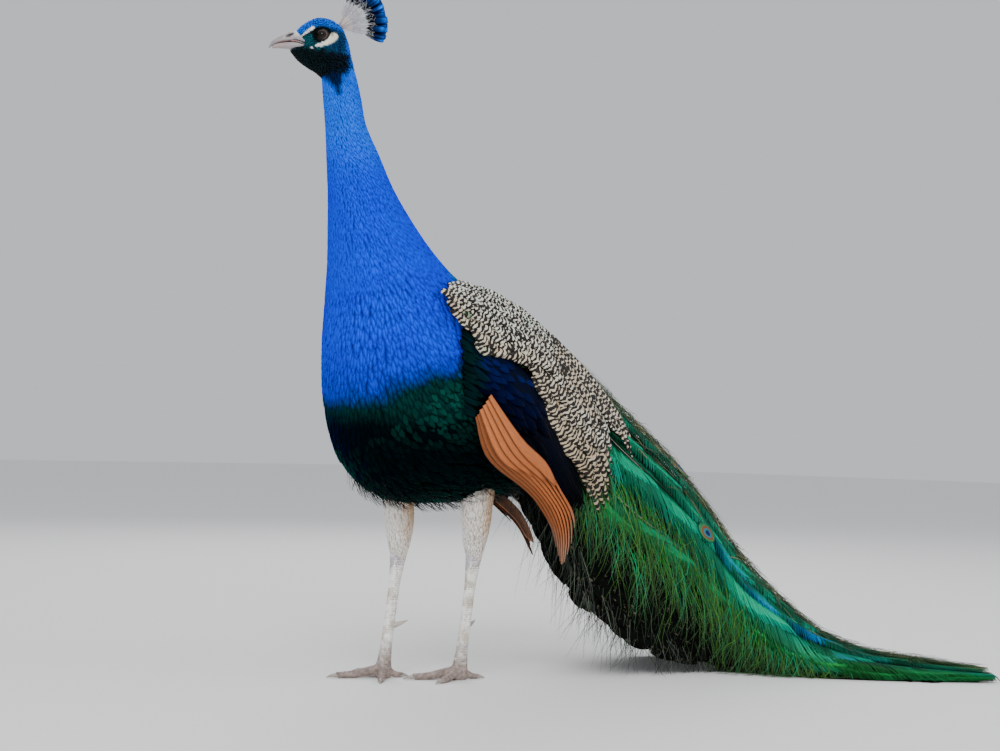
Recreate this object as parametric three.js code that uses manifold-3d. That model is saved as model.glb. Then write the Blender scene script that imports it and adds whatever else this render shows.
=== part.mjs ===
// A standing male peafowl, life size, in millimetres: +Z up, bill towards -X, left side towards -Y.
import * as THREE from "three";
import { mergeVertices } from "three/addons/utils/BufferGeometryUtils.js";
import Module from "manifold-3d";

const wasm = await Module();
wasm.setup();

const GAP = 0.3; // clear space left between neighbouring solids
const FINEST = 0.1; // facets flatter than this are joined
const CENTRE_X = 247.3; // middle of the bounding box, measured from the midpoint between the feet
const CENTRE_Y = -117.1;

const HEAD_TURN = THREE.MathUtils.degToRad(32); // the head looks to the bird's right of the trunk
const EYE_MIDDLE = new THREE.Vector3(-155, 11, 845); // point midway between the eyes
const EYE_RADIUS = 7.6;
const EYE_SPREAD = 13.6; // eyeball centre to the middle plane of the head
const EYE_AHEAD = -0.8;
const EYE_DROP = 6; // eyeball centre below the line from nostril to ear

const STEP_MIDDLE = 10; // the two feet stand this far before and behind the line between them
const STEP_FORWARD = 42;
const STEP_BACK = 44;
const STEP_ASIDE = 27;
const FOOT_TURN = THREE.MathUtils.degToRad(20);
const HOCK_HEIGHT = 167;
const HOCK_BEHIND = 18; // hock behind the joint of the toes
const TOE_JOINT_HEIGHT = 22;

const WING_THICK = 7;
const WING_ROOM = 0.8;
const TRAIN_THICK = 12;

const COLOUR = {
  neckBlue: 0x0a4bc4,
  headBlue: 0x123a9c,
  bellyGreen: 0x0a3b30,
  horn: 0xb7aca3,
  eyeDark: 0x1c120c,
  crestBlue: 0x1262a8,
  barred: 0xa79a80,
  navy: 0x10192f,
  rufous: 0xb06a38,
  trainGreen: 0x1f7a4a,
  tailDark: 0x1c1a15,
  thighCream: 0xcfc4b2,
  legGrey: 0xa79c8e,
  clawDark: 0x4f463c,
};

const group = new THREE.Group();
const vec = (x, y, z) => new THREE.Vector3(x, y, z);

// ---------------------------------------------------------------- solids from rings and plates

function closedGeometry(points, faces) {
  let volume = 0;
  const cross = new THREE.Vector3();
  for (const [a, b, c] of faces) {
    volume += points[a].dot(cross.crossVectors(points[b], points[c]));
  }
  const index = faces.flatMap(([a, b, c]) => (volume < 0 ? [a, c, b] : [a, b, c]));
  return new THREE.BufferGeometry().setFromPoints(points).setIndex(index);
}

// A tube through closed rings of equal count, with a flat cap at each end.
function ringBody(rings) {
  const count = rings[0].length;
  const points = rings.flat();
  const faces = [];
  for (let i = 0; i + 1 < rings.length; i += 1) {
    for (let j = 0; j < count; j += 1) {
      const a = i * count + j;
      const b = i * count + ((j + 1) % count);
      faces.push([a, b, b + count], [a, b + count, a + count]);
    }
  }
  for (const [first, turn] of [[0, true], [(rings.length - 1) * count, false]]) {
    const middle = new THREE.Vector3();
    for (let j = 0; j < count; j += 1) {
      middle.addScaledVector(points[first + j], 1 / count);
    }
    points.push(middle);
    for (let j = 0; j < count; j += 1) {
      const next = first + ((j + 1) % count);
      faces.push(turn ? [points.length - 1, next, first + j] : [points.length - 1, first + j, next]);
    }
  }
  return closedGeometry(points, faces);
}

// The sheet that lies under another at a distance, measured square to it.
function sheetUnder(surface, thick) {
  const step = 1e-3;
  return (s, t) => {
    const along = surface(s + step, t).sub(surface(s - step, t));
    const across = surface(s, t + step).sub(surface(s, t - step));
    const normal = along.cross(across).normalize();
    return surface(s, t).addScaledVector(normal, thick(s, t));
  };
}

// A bent plate between an outer sheet of points and an inner one.
function plateBody(outerSheet, innerSheet, alongCount, acrossCount) {
  const outer = [];
  const inner = [];
  for (let i = 0; i <= alongCount; i += 1) {
    for (let j = 0; j <= acrossCount; j += 1) {
      const s = i / alongCount;
      const t = j / acrossCount;
      outer.push(outerSheet(s, t));
      inner.push(innerSheet(s, t));
    }
  }
  const points = outer.concat(inner);
  const half = outer.length;
  const wide = acrossCount + 1;
  const faces = [];
  const quad = (a, b, c, d) => faces.push([a, b, c], [a, c, d]);
  for (let i = 0; i < alongCount; i += 1) {
    for (let j = 0; j < acrossCount; j += 1) {
      const a = i * wide + j;
      quad(a, a + 1, a + wide + 1, a + wide);
      quad(half + a, half + a + wide, half + a + wide + 1, half + a + 1);
    }
    const low = i * wide;
    const high = low + acrossCount;
    quad(low, low + wide, half + low + wide, half + low);
    quad(high, half + high, half + high + wide, high + wide);
  }
  for (let j = 0; j < acrossCount; j += 1) {
    const far = alongCount * wide + j;
    quad(j, half + j, half + j + 1, j + 1);
    quad(far, far + 1, half + far + 1, half + far);
  }
  return closedGeometry(points, faces);
}

function solidOf(geometry) {
  const merged = mergeVertices(geometry, 1e-3);
  const vertProperties = merged.getAttribute("position").array;
  const triVerts = new Uint32Array(merged.index.array);
  return new wasm.Manifold(new wasm.Mesh({ numProp: 3, vertProperties, triVerts }));
}

function geometryOf(solid) {
  const mesh = solid.getMesh();
  const geometry = new THREE.BufferGeometry();
  geometry.setAttribute("position", new THREE.BufferAttribute(mesh.vertProperties, 3));
  geometry.setIndex(new THREE.BufferAttribute(mesh.triVerts, 1));
  return geometry;
}

const above = (solid, height) => solid.trimByPlane([0, 0, 1], height);
const below = (solid, height) => solid.trimByPlane([0, 0, -1], -height);
const aboveFloor = (solid) => above(solid, 0);

// The largest single piece, so that a trimming cut leaves no loose chip behind.
function largest(solid) {
  const pieces = solid.decompose();
  return pieces.reduce((best, piece) => (piece.volume() > best.volume() ? piece : best));
}

function cutClear(solid, rooms) {
  return largest(rooms.reduce((rest, room) => rest.subtract(room), solid));
}

function addNode(name, solid, color, roughness = 0.75) {
  const material = new THREE.MeshStandardMaterial({ color, roughness, metalness: 0 });
  const mesh = new THREE.Mesh(geometryOf(solid.simplify(FINEST)), material);
  mesh.name = name;
  group.add(mesh);
}

// Smooth blending of one named size through a row of stations.
function blend(stations, read, u) {
  const last = stations.length - 1;
  const at = THREE.MathUtils.clamp(u, 0, 1) * last;
  const i = Math.min(Math.floor(at), last - 1);
  const f = at - i;
  const value = (k) => read(stations[THREE.MathUtils.clamp(k, 0, last)]);
  const [a, b, c, d] = [value(i - 1), value(i), value(i + 1), value(i + 2)];
  const slope = (c - a) / 2;
  const nextSlope = (d - b) / 2;
  const f2 = f * f;
  const f3 = f2 * f;
  const start = (2 * f3 - 3 * f2 + 1) * b + (f3 - 2 * f2 + f) * slope;
  return start + (3 * f2 - 2 * f3) * c + (f3 - f2) * nextSlope;
}

const blendPoint = (stations, key, u) =>
  vec(
    blend(stations, (row) => row[key].x, u),
    blend(stations, (row) => row[key].y, u),
    blend(stations, (row) => row[key].z, u),
  );

// ---------------------------------------------------------------- neck and trunk

// Each station is a cross-section: a point on the back line, one on the front or belly line,
// and half the width between the two sides.
const station = (backX, backZ, frontX, frontZ, half, turn = 0) => ({
  back: vec(backX, 0, backZ),
  front: vec(frontX, 0, frontZ),
  half,
  turn,
});
const BODY = [
  station(-115, 795, -159, 788, 21.5, 1),
  station(-106, 762, -155, 756, 22.5, 0.8),
  station(-98, 728, -151, 722, 25, 0.5),
  station(-79, 690, -147, 678, 34, 0.2),
  station(-58, 648, -143, 632, 43),
  station(-34, 612, -141, 588, 53),
  station(-8, 578, -139, 545, 66),
  station(20, 548, -139, 494, 83),
  station(48, 528, -140, 430, 98),
  station(74, 517, -134, 354, 108),
  station(98, 505, -110, 284, 111),
  station(122, 491, -54, 240, 110),
  station(150, 473, 34, 234, 107),
  station(188, 444, 112, 244, 98),
  station(230, 408, 176, 264, 80),
  station(266, 376, 226, 296, 56),
  station(292, 350, 262, 322, 32),
];

function bodyRing(u, grow, count) {
  const back = blendPoint(BODY, "back", u);
  const front = blendPoint(BODY, "front", u);
  const half = blend(BODY, (row) => row.half, u) + grow;
  const turn = blend(BODY, (row) => row.turn, u) * HEAD_TURN;
  const middle = back.clone().add(front).multiplyScalar(0.5);
  const reach = back.sub(front).multiplyScalar(0.5);
  reach.setLength(reach.length() + grow).applyAxisAngle(vec(0, 0, 1), -turn);
  const side = vec(0, -half, 0).applyAxisAngle(vec(0, 0, 1), -turn);
  const ring = [];
  for (let j = 0; j < count; j += 1) {
    const angle = (j / count) * Math.PI * 2;
    ring.push(
      middle.clone().addScaledVector(reach, Math.cos(angle)).addScaledVector(side, Math.sin(angle)),
    );
  }
  return ring;
}

function bodyPart(from, to, rings, grow = 0) {
  const rows = [];
  for (let i = 0; i <= rings; i += 1) {
    rows.push(bodyRing(from + ((to - from) * i) / rings, grow, 20));
  }
  return solidOf(ringBody(rows));
}

const LAST = BODY.length - 1;
const CUT = 0.006 / LAST; // share of the whole run taken by a joint's clear space

addNode("neck_upper", bodyPart(CUT, 3 / LAST - CUT, 5), COLOUR.neckBlue);
addNode("neck_lower", bodyPart(3 / LAST + CUT, 7 / LAST - CUT, 6), COLOUR.neckBlue);
addNode("breast", bodyPart(7 / LAST + CUT, 10.5 / LAST - CUT, 6), COLOUR.neckBlue);
addNode("belly", bodyPart(10.5 / LAST + CUT, 13 / LAST - CUT, 4), COLOUR.bellyGreen);
addNode("rump", bodyPart(13 / LAST + CUT, 1, 6), COLOUR.bellyGreen);
const trunkRoom = bodyPart(4 / LAST, 1, 48, GAP * 3);

// ---------------------------------------------------------------- head

const forward = vec(-Math.cos(HEAD_TURN), Math.sin(HEAD_TURN), 0);
const leftOfHead = vec(-Math.sin(HEAD_TURN), -Math.cos(HEAD_TURN), 0);
const headPoint = (ahead, up, left = 0) =>
  EYE_MIDDLE.clone()
    .addScaledVector(forward, ahead)
    .addScaledVector(leftOfHead, left)
    .add(vec(0, 0, up));

const headStation = (topAhead, topUp, underAhead, underUp, half) => ({
  top: vec(topAhead, 0, topUp),
  under: vec(underAhead, 0, underUp),
  half,
});
const HEAD = [
  headStation(-42.6, -49, 3, -56.4, 21.5),
  headStation(-38, -32, 9.5, -51, 21),
  headStation(-32.5, -10, 19, -45.5, 20.5),
  headStation(-24, 8, 27.5, -40, 20.5),
  headStation(-10, 18.5, 34, -34.5, 19.8),
  headStation(6, 20.8, 38, -29.5, 17.5),
  headStation(21, 14.5, 39.5, -25.5, 14),
  headStation(31.5, 6.5, 40, -22.2, 9.5),
  headStation(35.5, 2.5, 40, -20.5, 6.5),
];

const HEAD_START = 0.004; // share of the head's length left open where the neck begins
function headBody(grow, from) {
  const rings = [];
  const count = 16;
  const steps = 10;
  for (let i = 0; i <= steps; i += 1) {
    const u = from + ((1 - from) * i) / steps;
    const top = blendPoint(HEAD, "top", u);
    const under = blendPoint(HEAD, "under", u);
    const half = blend(HEAD, (row) => row.half, u) + grow;
    const middle = top.clone().add(under).multiplyScalar(0.5);
    const reach = top.sub(under).multiplyScalar(0.5);
    reach.setLength(reach.length() + grow);
    const ring = [];
    for (let j = 0; j < count; j += 1) {
      const angle = (j / count) * Math.PI * 2;
      const at = middle.clone().addScaledVector(reach, Math.cos(angle));
      ring.push(headPoint(at.x + (i === steps ? grow : 0), at.z, half * Math.sin(angle)));
    }
    rings.push(ring);
  }
  return solidOf(ringBody(rings));
}

function eyeBall(side, radius) {
  const place = headPoint(EYE_AHEAD, -EYE_DROP, side * EYE_SPREAD);
  const ball = new THREE.SphereGeometry(radius, 12, 8);
  ball.deleteAttribute("normal");
  ball.deleteAttribute("uv");
  return solidOf(ball.translate(place.x, place.y, place.z));
}

// The upper half of the bill ends in a hook over the lower half.
function billHalf(stations, grow = 0) {
  const rings = stations.map(({ ahead, top, bottom, half }) => {
    const ring = [];
    for (let j = 0; j < 12; j += 1) {
      const angle = (j / 12) * Math.PI * 2;
      const up = (top + bottom) / 2 + ((top - bottom) / 2 + grow) * Math.cos(angle);
      ring.push(headPoint(ahead, up, (half + grow) * Math.sin(angle)));
    }
    return ring;
  });
  return solidOf(ringBody(rings));
}
const billStation = (ahead, top, bottom, half) => ({ ahead, top, bottom, half });
const BILL_UPPER = [
  billStation(28, 4, -10, 8),
  billStation(36, 2.8, -10.5, 7.6),
  billStation(45, 0, -11.5, 6.6),
  billStation(54, -3.6, -12.8, 5),
  billStation(62, -8.2, -14.6, 3.3),
  billStation(68, -13.2, -17, 1.8),
  billStation(70.6, -16.6, -18.4, 0.8),
];
const BILL_LOWER = [
  billStation(28, -12.6, -20.6, 6.6),
  billStation(38, -13, -20.2, 6),
  billStation(48, -13.9, -19.6, 4.6),
  billStation(57, -15.4, -19, 3),
  billStation(63.5, -17.2, -18.9, 1.4),
];
const headRoom = headBody(GAP * 2, HEAD_START);
const upperBill = billHalf(BILL_UPPER).subtract(headRoom);
const upperBillRoom = billHalf(BILL_UPPER, GAP);
const lowerBill = billHalf(BILL_LOWER).subtract(headRoom).subtract(upperBillRoom);

let head = headBody(0, HEAD_START);
for (const side of [1, -1]) {
  head = head.subtract(eyeBall(side, EYE_RADIUS + GAP));
}
addNode("head", largest(head), COLOUR.headBlue);
addNode("eye_left", eyeBall(1, EYE_RADIUS), COLOUR.eyeDark, 0.08);
addNode("eye_right", eyeBall(-1, EYE_RADIUS), COLOUR.eyeDark, 0.08);
addNode("bill_upper", largest(upperBill), COLOUR.horn, 0.45);
addNode("bill_lower", largest(lowerBill), COLOUR.horn, 0.45);

// ---------------------------------------------------------------- crest

const CREST_COUNT = 7;
const CREST_ROOT = { ahead: -19, up: 8 };
const CREST_LOW = THREE.MathUtils.degToRad(196); // direction of the lowest shaft, from straight ahead
const CREST_HIGH = THREE.MathUtils.degToRad(108);
const CREST_LENGTH = 66;
const CREST_ARCH = 2; // the outer feathers of the fan are this much shorter for each place
const TIP_LENGTH = 22;
const TIP_WIDTHS = [1.4, 9, 12.5, 8, 1];
const SHAFT_WIDTHS = [2.2, 1.4];
const HUB_WIDTHS = [16, 18, 4];
const FEATHER_THICK = 1.6;

function crestBlade(angle, from, to, widths, thick) {
  const rings = widths.map((wide, i) => {
    const far = from + ((to - from) * i) / (widths.length - 1);
    const ahead = CREST_ROOT.ahead + far * Math.cos(angle);
    const up = CREST_ROOT.up + far * Math.sin(angle);
    const corner = (across, left) =>
      headPoint(ahead - across * Math.sin(angle), up + across * Math.cos(angle), left);
    const w = wide / 2;
    return [corner(-w, 0), corner(0, -thick / 2), corner(w, 0), corner(0, thick / 2)];
  });
  return solidOf(ringBody(rings));
}

let crest = crestBlade((CREST_LOW + CREST_HIGH) / 2, 0.5, 14, HUB_WIDTHS, 7);
for (let i = 0; i < CREST_COUNT; i += 1) {
  const angle = CREST_LOW + ((CREST_HIGH - CREST_LOW) * i) / (CREST_COUNT - 1);
  const length = CREST_LENGTH - CREST_ARCH * Math.abs(i - CREST_COUNT / 2);
  const tipStart = length - TIP_LENGTH;
  crest = crest.add(crestBlade(angle, 4, tipStart + 1, SHAFT_WIDTHS, FEATHER_THICK));
  crest = crest.add(crestBlade(angle, tipStart, length, TIP_WIDTHS, FEATHER_THICK));
}
crest = crest.subtract(headRoom);
addNode("crest", largest(crest), COLOUR.crestBlue);

// ---------------------------------------------------------------- wings

// A wing layer runs from the shoulder to its feather tips. Each station is a point on its upper
// edge and one on its lower edge; the layer bulges outwards between them.
const edge = (topX, topY, topZ, lowX, lowY, lowZ) => ({
  top: vec(topX, topY, topZ),
  low: vec(lowX, lowY, lowZ),
});
const COVERTS = [
  edge(10, -36, 533, -34, -104, 500),
  edge(52, -46, 524, -6, -117, 466),
  edge(92, -50, 511, 30, -122, 428),
  edge(135, -50, 488, 84, -124, 418),
  edge(185, -50, 451, 116, -122, 381),
  edge(234, -50, 411, 142, -117, 336),
  edge(284, -50, 358, 186, -108, 279),
  edge(316, -52, 306, 226, -98, 212),
];
const SECONDARIES = [
  edge(6, -108, 462, 8, -110, 352),
  edge(60, -117, 420, 45, -114, 334),
  edge(104, -116, 390, 86, -112, 308),
  edge(130, -112, 348, 125, -106, 282),
  edge(172, -102, 292, 165, -97, 235),
  edge(214, -90, 232, 200, -88, 200),
];
const PRIMARIES = [
  edge(32, -119, 372, 16, -117, 346),
  edge(80, -119, 317, 32, -113, 306),
  edge(123, -112, 287, 62, -107, 280),
  edge(152, -104, 256, 104, -98, 254),
  edge(180, -96, 221, 130, -93, 233),
  edge(184, -92, 186, 154, -90, 200),
  edge(174, -90, 152, 164, -89, 156),
];
const RIGHT_TIP_BACK = 62; // the right wing's primaries trail further back than the left's
const RIGHT_TIP_IN = 22;

// Rounded feather tips along a free edge.
const scallop = (at, count, depth) => depth * (1 - Math.abs(Math.sin(Math.PI * count * at)));

function wingSurface(stations, side, bulge, lobes, depth, trail) {
  return (s, t) => {
    const top = blendPoint(stations, "top", s);
    const low = blendPoint(stations, "low", s);
    const reach = low.clone().sub(top);
    const edgeLobe = scallop(s, lobes, depth) * Math.max(0, t - 0.6) * 2.5;
    const endLobe = scallop(t, 4, depth) * Math.max(0, s - 0.85) * 6;
    const along = blendPoint(stations, "top", s).sub(blendPoint(stations, "top", s - 0.02));
    const point = top.addScaledVector(reach, t);
    point.addScaledVector(reach.normalize(), -edgeLobe);
    point.addScaledVector(along.normalize(), -endLobe);
    point.y -= bulge * Math.sin(Math.PI * Math.min(1, 0.12 + t * 0.88));
    if (trail) {
      point.x += RIGHT_TIP_BACK * s * s;
      point.y += RIGHT_TIP_IN * s;
    }
    point.y *= side;
    return point;
  };
}

// room is the clear space wanted round the plate: a little outside it and more under it.
function wingPlate(surface, along, across, thick, side, room = 0) {
  const inward = vec(0, side, -0.5).normalize();
  const shifted = (distance) => (s, t) => surface(s, t).addScaledVector(inward, distance(s * t));
  const over = shifted(() => -room);
  const under = shifted((thin) => thick * (1 - 0.55 * thin) + room * 2);
  return solidOf(plateBody(over, under, along, across));
}

const SIDES = [["left", 1], ["right", -1]];
const wingRoom = [];
for (const [name, side] of SIDES) {
  const trailing = side < 0;
  const coverts = wingSurface(COVERTS, side, 22, 6, 9, false);
  const secondaries = wingSurface(SECONDARIES, side, 8, 5, 7, false);
  const primaries = wingSurface(PRIMARIES, side, 3, 4, 7, trailing);
  const covertPlate = wingPlate(coverts, 18, 4, WING_THICK, side);
  const covertRoom = wingPlate(coverts, 18, 4, WING_THICK, side, WING_ROOM);
  const secondPlate = wingPlate(secondaries, 15, 2, WING_THICK - 1, side);
  const secondRoom = wingPlate(secondaries, 15, 2, WING_THICK - 1, side, WING_ROOM);
  const primePlate = wingPlate(primaries, 12, 3, WING_THICK - 2, side);
  const upper = largest(covertPlate.subtract(trunkRoom));
  const middle = cutClear(secondPlate, [trunkRoom, covertRoom, covertPlate]);
  const lower = cutClear(primePlate, [trunkRoom, secondRoom, secondPlate, covertRoom, covertPlate]);
  addNode(`wing_${name}_coverts`, upper, COLOUR.barred);
  addNode(`wing_${name}_secondaries`, middle, COLOUR.navy);
  addNode(`wing_${name}_primaries`, lower, COLOUR.rufous);
  wingRoom.push(covertRoom, covertPlate, secondRoom, secondPlate, primePlate);
}

// ---------------------------------------------------------------- train and tail

// Each station of the train is an arch: its ridge and the hem on the left and on the right.
const arch = (ridge, left, right) => ({ ridge, left, right });
const TRAIN = [
  arch(vec(196, 0, 444), vec(158, -66, 300), vec(170, 64, 320)),
  arch(vec(250, -6, 419), vec(178, -84, 196), vec(214, 76, 228)),
  arch(vec(300, -20, 372), vec(212, -100, 108), vec(266, 84, 146)),
  arch(vec(346, -36, 328), vec(262, -112, 58), vec(326, 84, 78)),
  arch(vec(386, -54, 283), vec(322, -118, 32), vec(388, 70, 34)),
  arch(vec(424, -78, 226), vec(384, -122, 16), vec(444, 40, 10)),
  arch(vec(462, -108, 160), vec(430, -134, 5), vec(492, -4, 2)),
  arch(vec(500, -146, 102), vec(464, -176, 0.4), vec(532, -62, 0.4)),
  arch(vec(538, -184, 56), vec(502, -222, 0), vec(572, -134, 0)),
  arch(vec(586, -224, 28), vec(556, -268, 0), vec(612, -198, 0)),
  arch(vec(642, -284, 17), vec(618, -310, 0), vec(654, -262, 0)),
  arch(vec(704, -350, 9), vec(698, -358, 0), vec(710, -342, 0)),
];

// t runs from the left hem (-1) over the ridge (0) to the right hem (1).
function trainPoint(u, t) {
  const ridge = blendPoint(TRAIN, "ridge", u);
  const hem = blendPoint(TRAIN, t < 0 ? "left" : "right", u);
  const angle = (Math.abs(t) * Math.PI) / 2;
  const out = Math.sin(angle);
  const up = Math.cos(angle);
  return vec(
    hem.x + (ridge.x - hem.x) * (1 - out),
    hem.y + (ridge.y - hem.y) * (1 - out),
    Math.max(0, hem.z + (ridge.z - hem.z) * up),
  );
}

// The under side of the train, drawn in towards the middle of the arch.
function trainUnder(u, t) {
  const point = trainPoint(u, t);
  const left = blendPoint(TRAIN, "left", u);
  const right = blendPoint(TRAIN, "right", u);
  const core = left.clone().lerp(right, 0.5).lerp(blendPoint(TRAIN, "ridge", u), 0.35);
  core.z = (left.z + right.z) / 2 - 6;
  const inward = core.sub(point);
  const thick = Math.min(TRAIN_THICK, blend(TRAIN, (row) => row.ridge.z, u) * 0.7);
  return point.addScaledVector(inward.normalize(), thick);
}

function trainPlate(from, to, tFrom, tTo, along, across) {
  const place = (sheet) => (s, t) => sheet(from + (to - from) * s, tFrom + (tTo - tFrom) * t);
  return solidOf(plateBody(place(trainPoint), place(trainUnder), along, across));
}

const TRAIN_CUT = 0.0006; // clear space between two lengths of the train
const RIDGE_CUT = 0.003; // and between its two flanks
const TRAIN_START = 0.002;
const TRAIN_LAST = 0.8; // where the single last length begins
const TRAIN_TIP = 0.9995;
// Name, start, end and rows of facets of each length of the train.
const LENGTHS = [
  ["upper", TRAIN_START, 0.3, 6],
  ["middle", 0.3, 0.56, 5],
  ["lower", 0.56, TRAIN_LAST, 5],
];

const trainRoom = [];
for (const [name, from, to, along] of LENGTHS) {
  for (const [side, tFrom, tTo] of [["left", -1, -RIDGE_CUT], ["right", RIDGE_CUT, 1]]) {
    const plate = trainPlate(from + TRAIN_CUT, to - TRAIN_CUT, tFrom, tTo, along, 7);
    const solid = cutClear(aboveFloor(plate), [trunkRoom, ...wingRoom, ...trainRoom]);
    addNode(`train_${name}_${side}`, solid, COLOUR.trainGreen);
    const start = Math.max(TRAIN_START / 2, from - TRAIN_CUT);
    trainRoom.push(plate, trainPlate(start, to, tFrom, tTo + RIDGE_CUT, along, 7));
  }
}
const trainEnd = aboveFloor(trainPlate(TRAIN_LAST + TRAIN_CUT, TRAIN_TIP, -1, 1, 6, 8));
addNode("train_end", cutClear(trainEnd, trainRoom), COLOUR.trainGreen);

// The stiff tail feathers spread as a dark fan under the train.
const TAIL = [
  edge(266, -30, 322, 268, 28, 326),
  edge(316, -66, 236, 332, 36, 250),
  edge(366, -90, 150, 392, 34, 164),
  edge(408, -108, 84, 440, 12, 92),
  edge(436, -122, 42, 470, -20, 44),
];
const TAIL_ARCH = 22;
const TAIL_SWEEP = 8; // the middle of the fan reaches this much farther back
const TAIL_THICK = 5;
function tailPoint(s, t) {
  const left = blendPoint(TAIL, "top", s);
  const right = blendPoint(TAIL, "low", s);
  const point = left.lerp(right, t);
  point.z += TAIL_ARCH * s * Math.sin(Math.PI * t);
  point.x += TAIL_SWEEP * s * s * Math.sin(Math.PI * t);
  return point;
}
const tailPlate = solidOf(plateBody(tailPoint, sheetUnder(tailPoint, () => -TAIL_THICK), 7, 8));
addNode("tail", cutClear(tailPlate, [trunkRoom, ...trainRoom]), COLOUR.tailDark);

// ---------------------------------------------------------------- legs and feet

// A tapering round limb through points, each with its own half width along and across.
function limb(stops, count = 10) {
  const rings = stops.map(({ at, long, wide, way }, i) => {
    const next = stops[Math.min(i + 1, stops.length - 1)].at;
    const last = stops[Math.max(i - 1, 0)].at;
    const axis = next.clone().sub(last).normalize();
    const across = new THREE.Vector3().crossVectors(axis, way).normalize();
    const other = new THREE.Vector3().crossVectors(across, axis);
    const ring = [];
    for (let j = 0; j < count; j += 1) {
      const angle = (j / count) * Math.PI * 2;
      const point = at.clone().addScaledVector(across, wide * Math.cos(angle));
      ring.push(point.addScaledVector(other, long * Math.sin(angle)));
    }
    return ring;
  });
  return solidOf(ringBody(rings));
}

const stop = (at, long, wide, way = vec(1, 0, 0)) => ({ at, long, wide, way });
const UP = vec(0, 0, 1);

const THIGH_TOP = 300;
const TARSUS_FOOT = 23;
const TOES = [
  { name: "middle", turn: 0, length: 60, root: 6.6, tip: 4.2, claw: 15 },
  { name: "inner", turn: -78, length: 42, root: 6, tip: 4, claw: 13 },
  { name: "outer", turn: 48, length: 45, root: 6, tip: 4, claw: 13 },
  { name: "hind", turn: 176, length: 24, root: 5, tip: 3.4, claw: 10 },
];
const SPUR_HEIGHT = 68;
const SPUR_LENGTH = 19;

function leg(name, side, x, y) {
  const hock = vec(x + HOCK_BEHIND, y, HOCK_HEIGHT);
  const shin = vec(x, y, TARSUS_FOOT);
  const onTarsus = (f) => shin.clone().lerp(hock, f);
  const thigh = limb(
    [
      stop(hock.clone().add(vec(0, 0, -6)), 10, 9.5),
      stop(hock.clone().add(vec(0, 0, 12)), 15.5, 14.5),
      stop(hock.clone().add(vec(1, side * -2, 38)), 19.5, 18),
      stop(hock.clone().add(vec(0, side * -5, 70)), 22, 20.5),
      stop(vec(hock.x - 2, y - side * 9, THIGH_TOP), 30, 27),
    ],
    14,
  );
  const thighShown = above(thigh, HOCK_HEIGHT).subtract(trunkRoom);
  addNode(`thigh_${name}`, largest(thighShown), COLOUR.thighCream);

  const tarsusStops = (grow) => [
    stop(onTarsus(-0.03), 9.4 + grow, 10 + grow),
    stop(onTarsus(0.1), 7.6 + grow, 7.6 + grow),
    stop(onTarsus(0.35), 7 + grow, 6.4 + grow),
    stop(onTarsus(0.7), 7.4 + grow, 6.6 + grow),
    stop(onTarsus(0.88), 9.6 + grow, 8.2 + grow),
    stop(onTarsus(0.96), 11 + grow, 9.4 + grow),
    stop(onTarsus(1.03), 11 + grow, 10 + grow),
  ];
  const tarsus = below(above(limb(tarsusStops(0)), TARSUS_FOOT), HOCK_HEIGHT - GAP);
  addNode(`tarsus_${name}`, tarsus, COLOUR.legGrey, 0.6);

  const root = onTarsus((SPUR_HEIGHT - TARSUS_FOOT) / (HOCK_HEIGHT - TARSUS_FOOT));
  const spurWay = vec(0.86, side * 0.42, 0.2).normalize();
  const spurAt = (f, lift) => root.clone().addScaledVector(spurWay, f).add(vec(0, 0, lift));
  const spur = limb([
    stop(spurAt(2, 0), 4.6, 4.6, UP),
    stop(spurAt(9, 0), 3.6, 3.6, UP),
    stop(spurAt(16, 0.6), 2.2, 2.2, UP),
    stop(spurAt(7 + SPUR_LENGTH, 2.6), 0.6, 0.6, UP),
  ]).subtract(limb(tarsusStops(GAP)));
  addNode(`spur_${name}`, largest(spur), COLOUR.clawDark, 0.4);

  const ball = vec(x - 1, y, 11);
  let foot = limb([
    stop(vec(x - 2, y, -1), 9, 10),
    stop(vec(x - 1, y, 9), 10.5, 11),
    stop(vec(x, y, TARSUS_FOOT + 2), 9, 9.6),
  ]);
  for (const toe of TOES) {
    const turned = toe.name === "middle" || toe.name === "hind" ? 1 : -side;
    const heading = FOOT_TURN + THREE.MathUtils.degToRad(toe.turn * turned);
    const way = vec(-Math.cos(heading), Math.sin(heading), 0);
    const reach = (f, z) => ball.clone().addScaledVector(way, f).setZ(z);
    const low = toe.tip - 0.5;
    const toeBody = limb(
      [
        stop(reach(3, 12), toe.root, toe.root, UP),
        stop(reach(toe.length * 0.35, 8.4), toe.root - 0.6, toe.root - 0.4, UP),
        stop(reach(toe.length * 0.7, low + 0.9), toe.tip + 0.5, toe.tip + 0.6, UP),
        stop(reach(toe.length, low), toe.tip - 0.3, toe.tip, UP),
      ],
      8,
    );
    foot = foot.add(toeBody);
    const clawAt = toe.length + GAP * 3;
    const claw = limb(
      [
        stop(reach(clawAt, low), 2.9, 2.7, UP),
        stop(reach(clawAt + toe.claw * 0.4, low + 0.1), 2.5, 2, UP),
        stop(reach(clawAt + toe.claw * 0.75, low - 1.2), 1.6, 1.2, UP),
        stop(reach(clawAt + toe.claw, 0.8), 0.5, 0.5, UP),
      ],
      6,
    );
    addNode(`claw_${toe.name}_${name}`, largest(aboveFloor(claw)), COLOUR.clawDark, 0.4);
  }
  const footShown = below(aboveFloor(foot), TARSUS_FOOT - GAP);
  addNode(`foot_${name}`, largest(footShown), COLOUR.legGrey, 0.6);
}
leg("left", 1, STEP_MIDDLE + STEP_FORWARD, -STEP_ASIDE);
leg("right", -1, STEP_MIDDLE - STEP_BACK, STEP_ASIDE);

group.position.set(-CENTRE_X, -CENTRE_Y, 0);

export default group;
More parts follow.
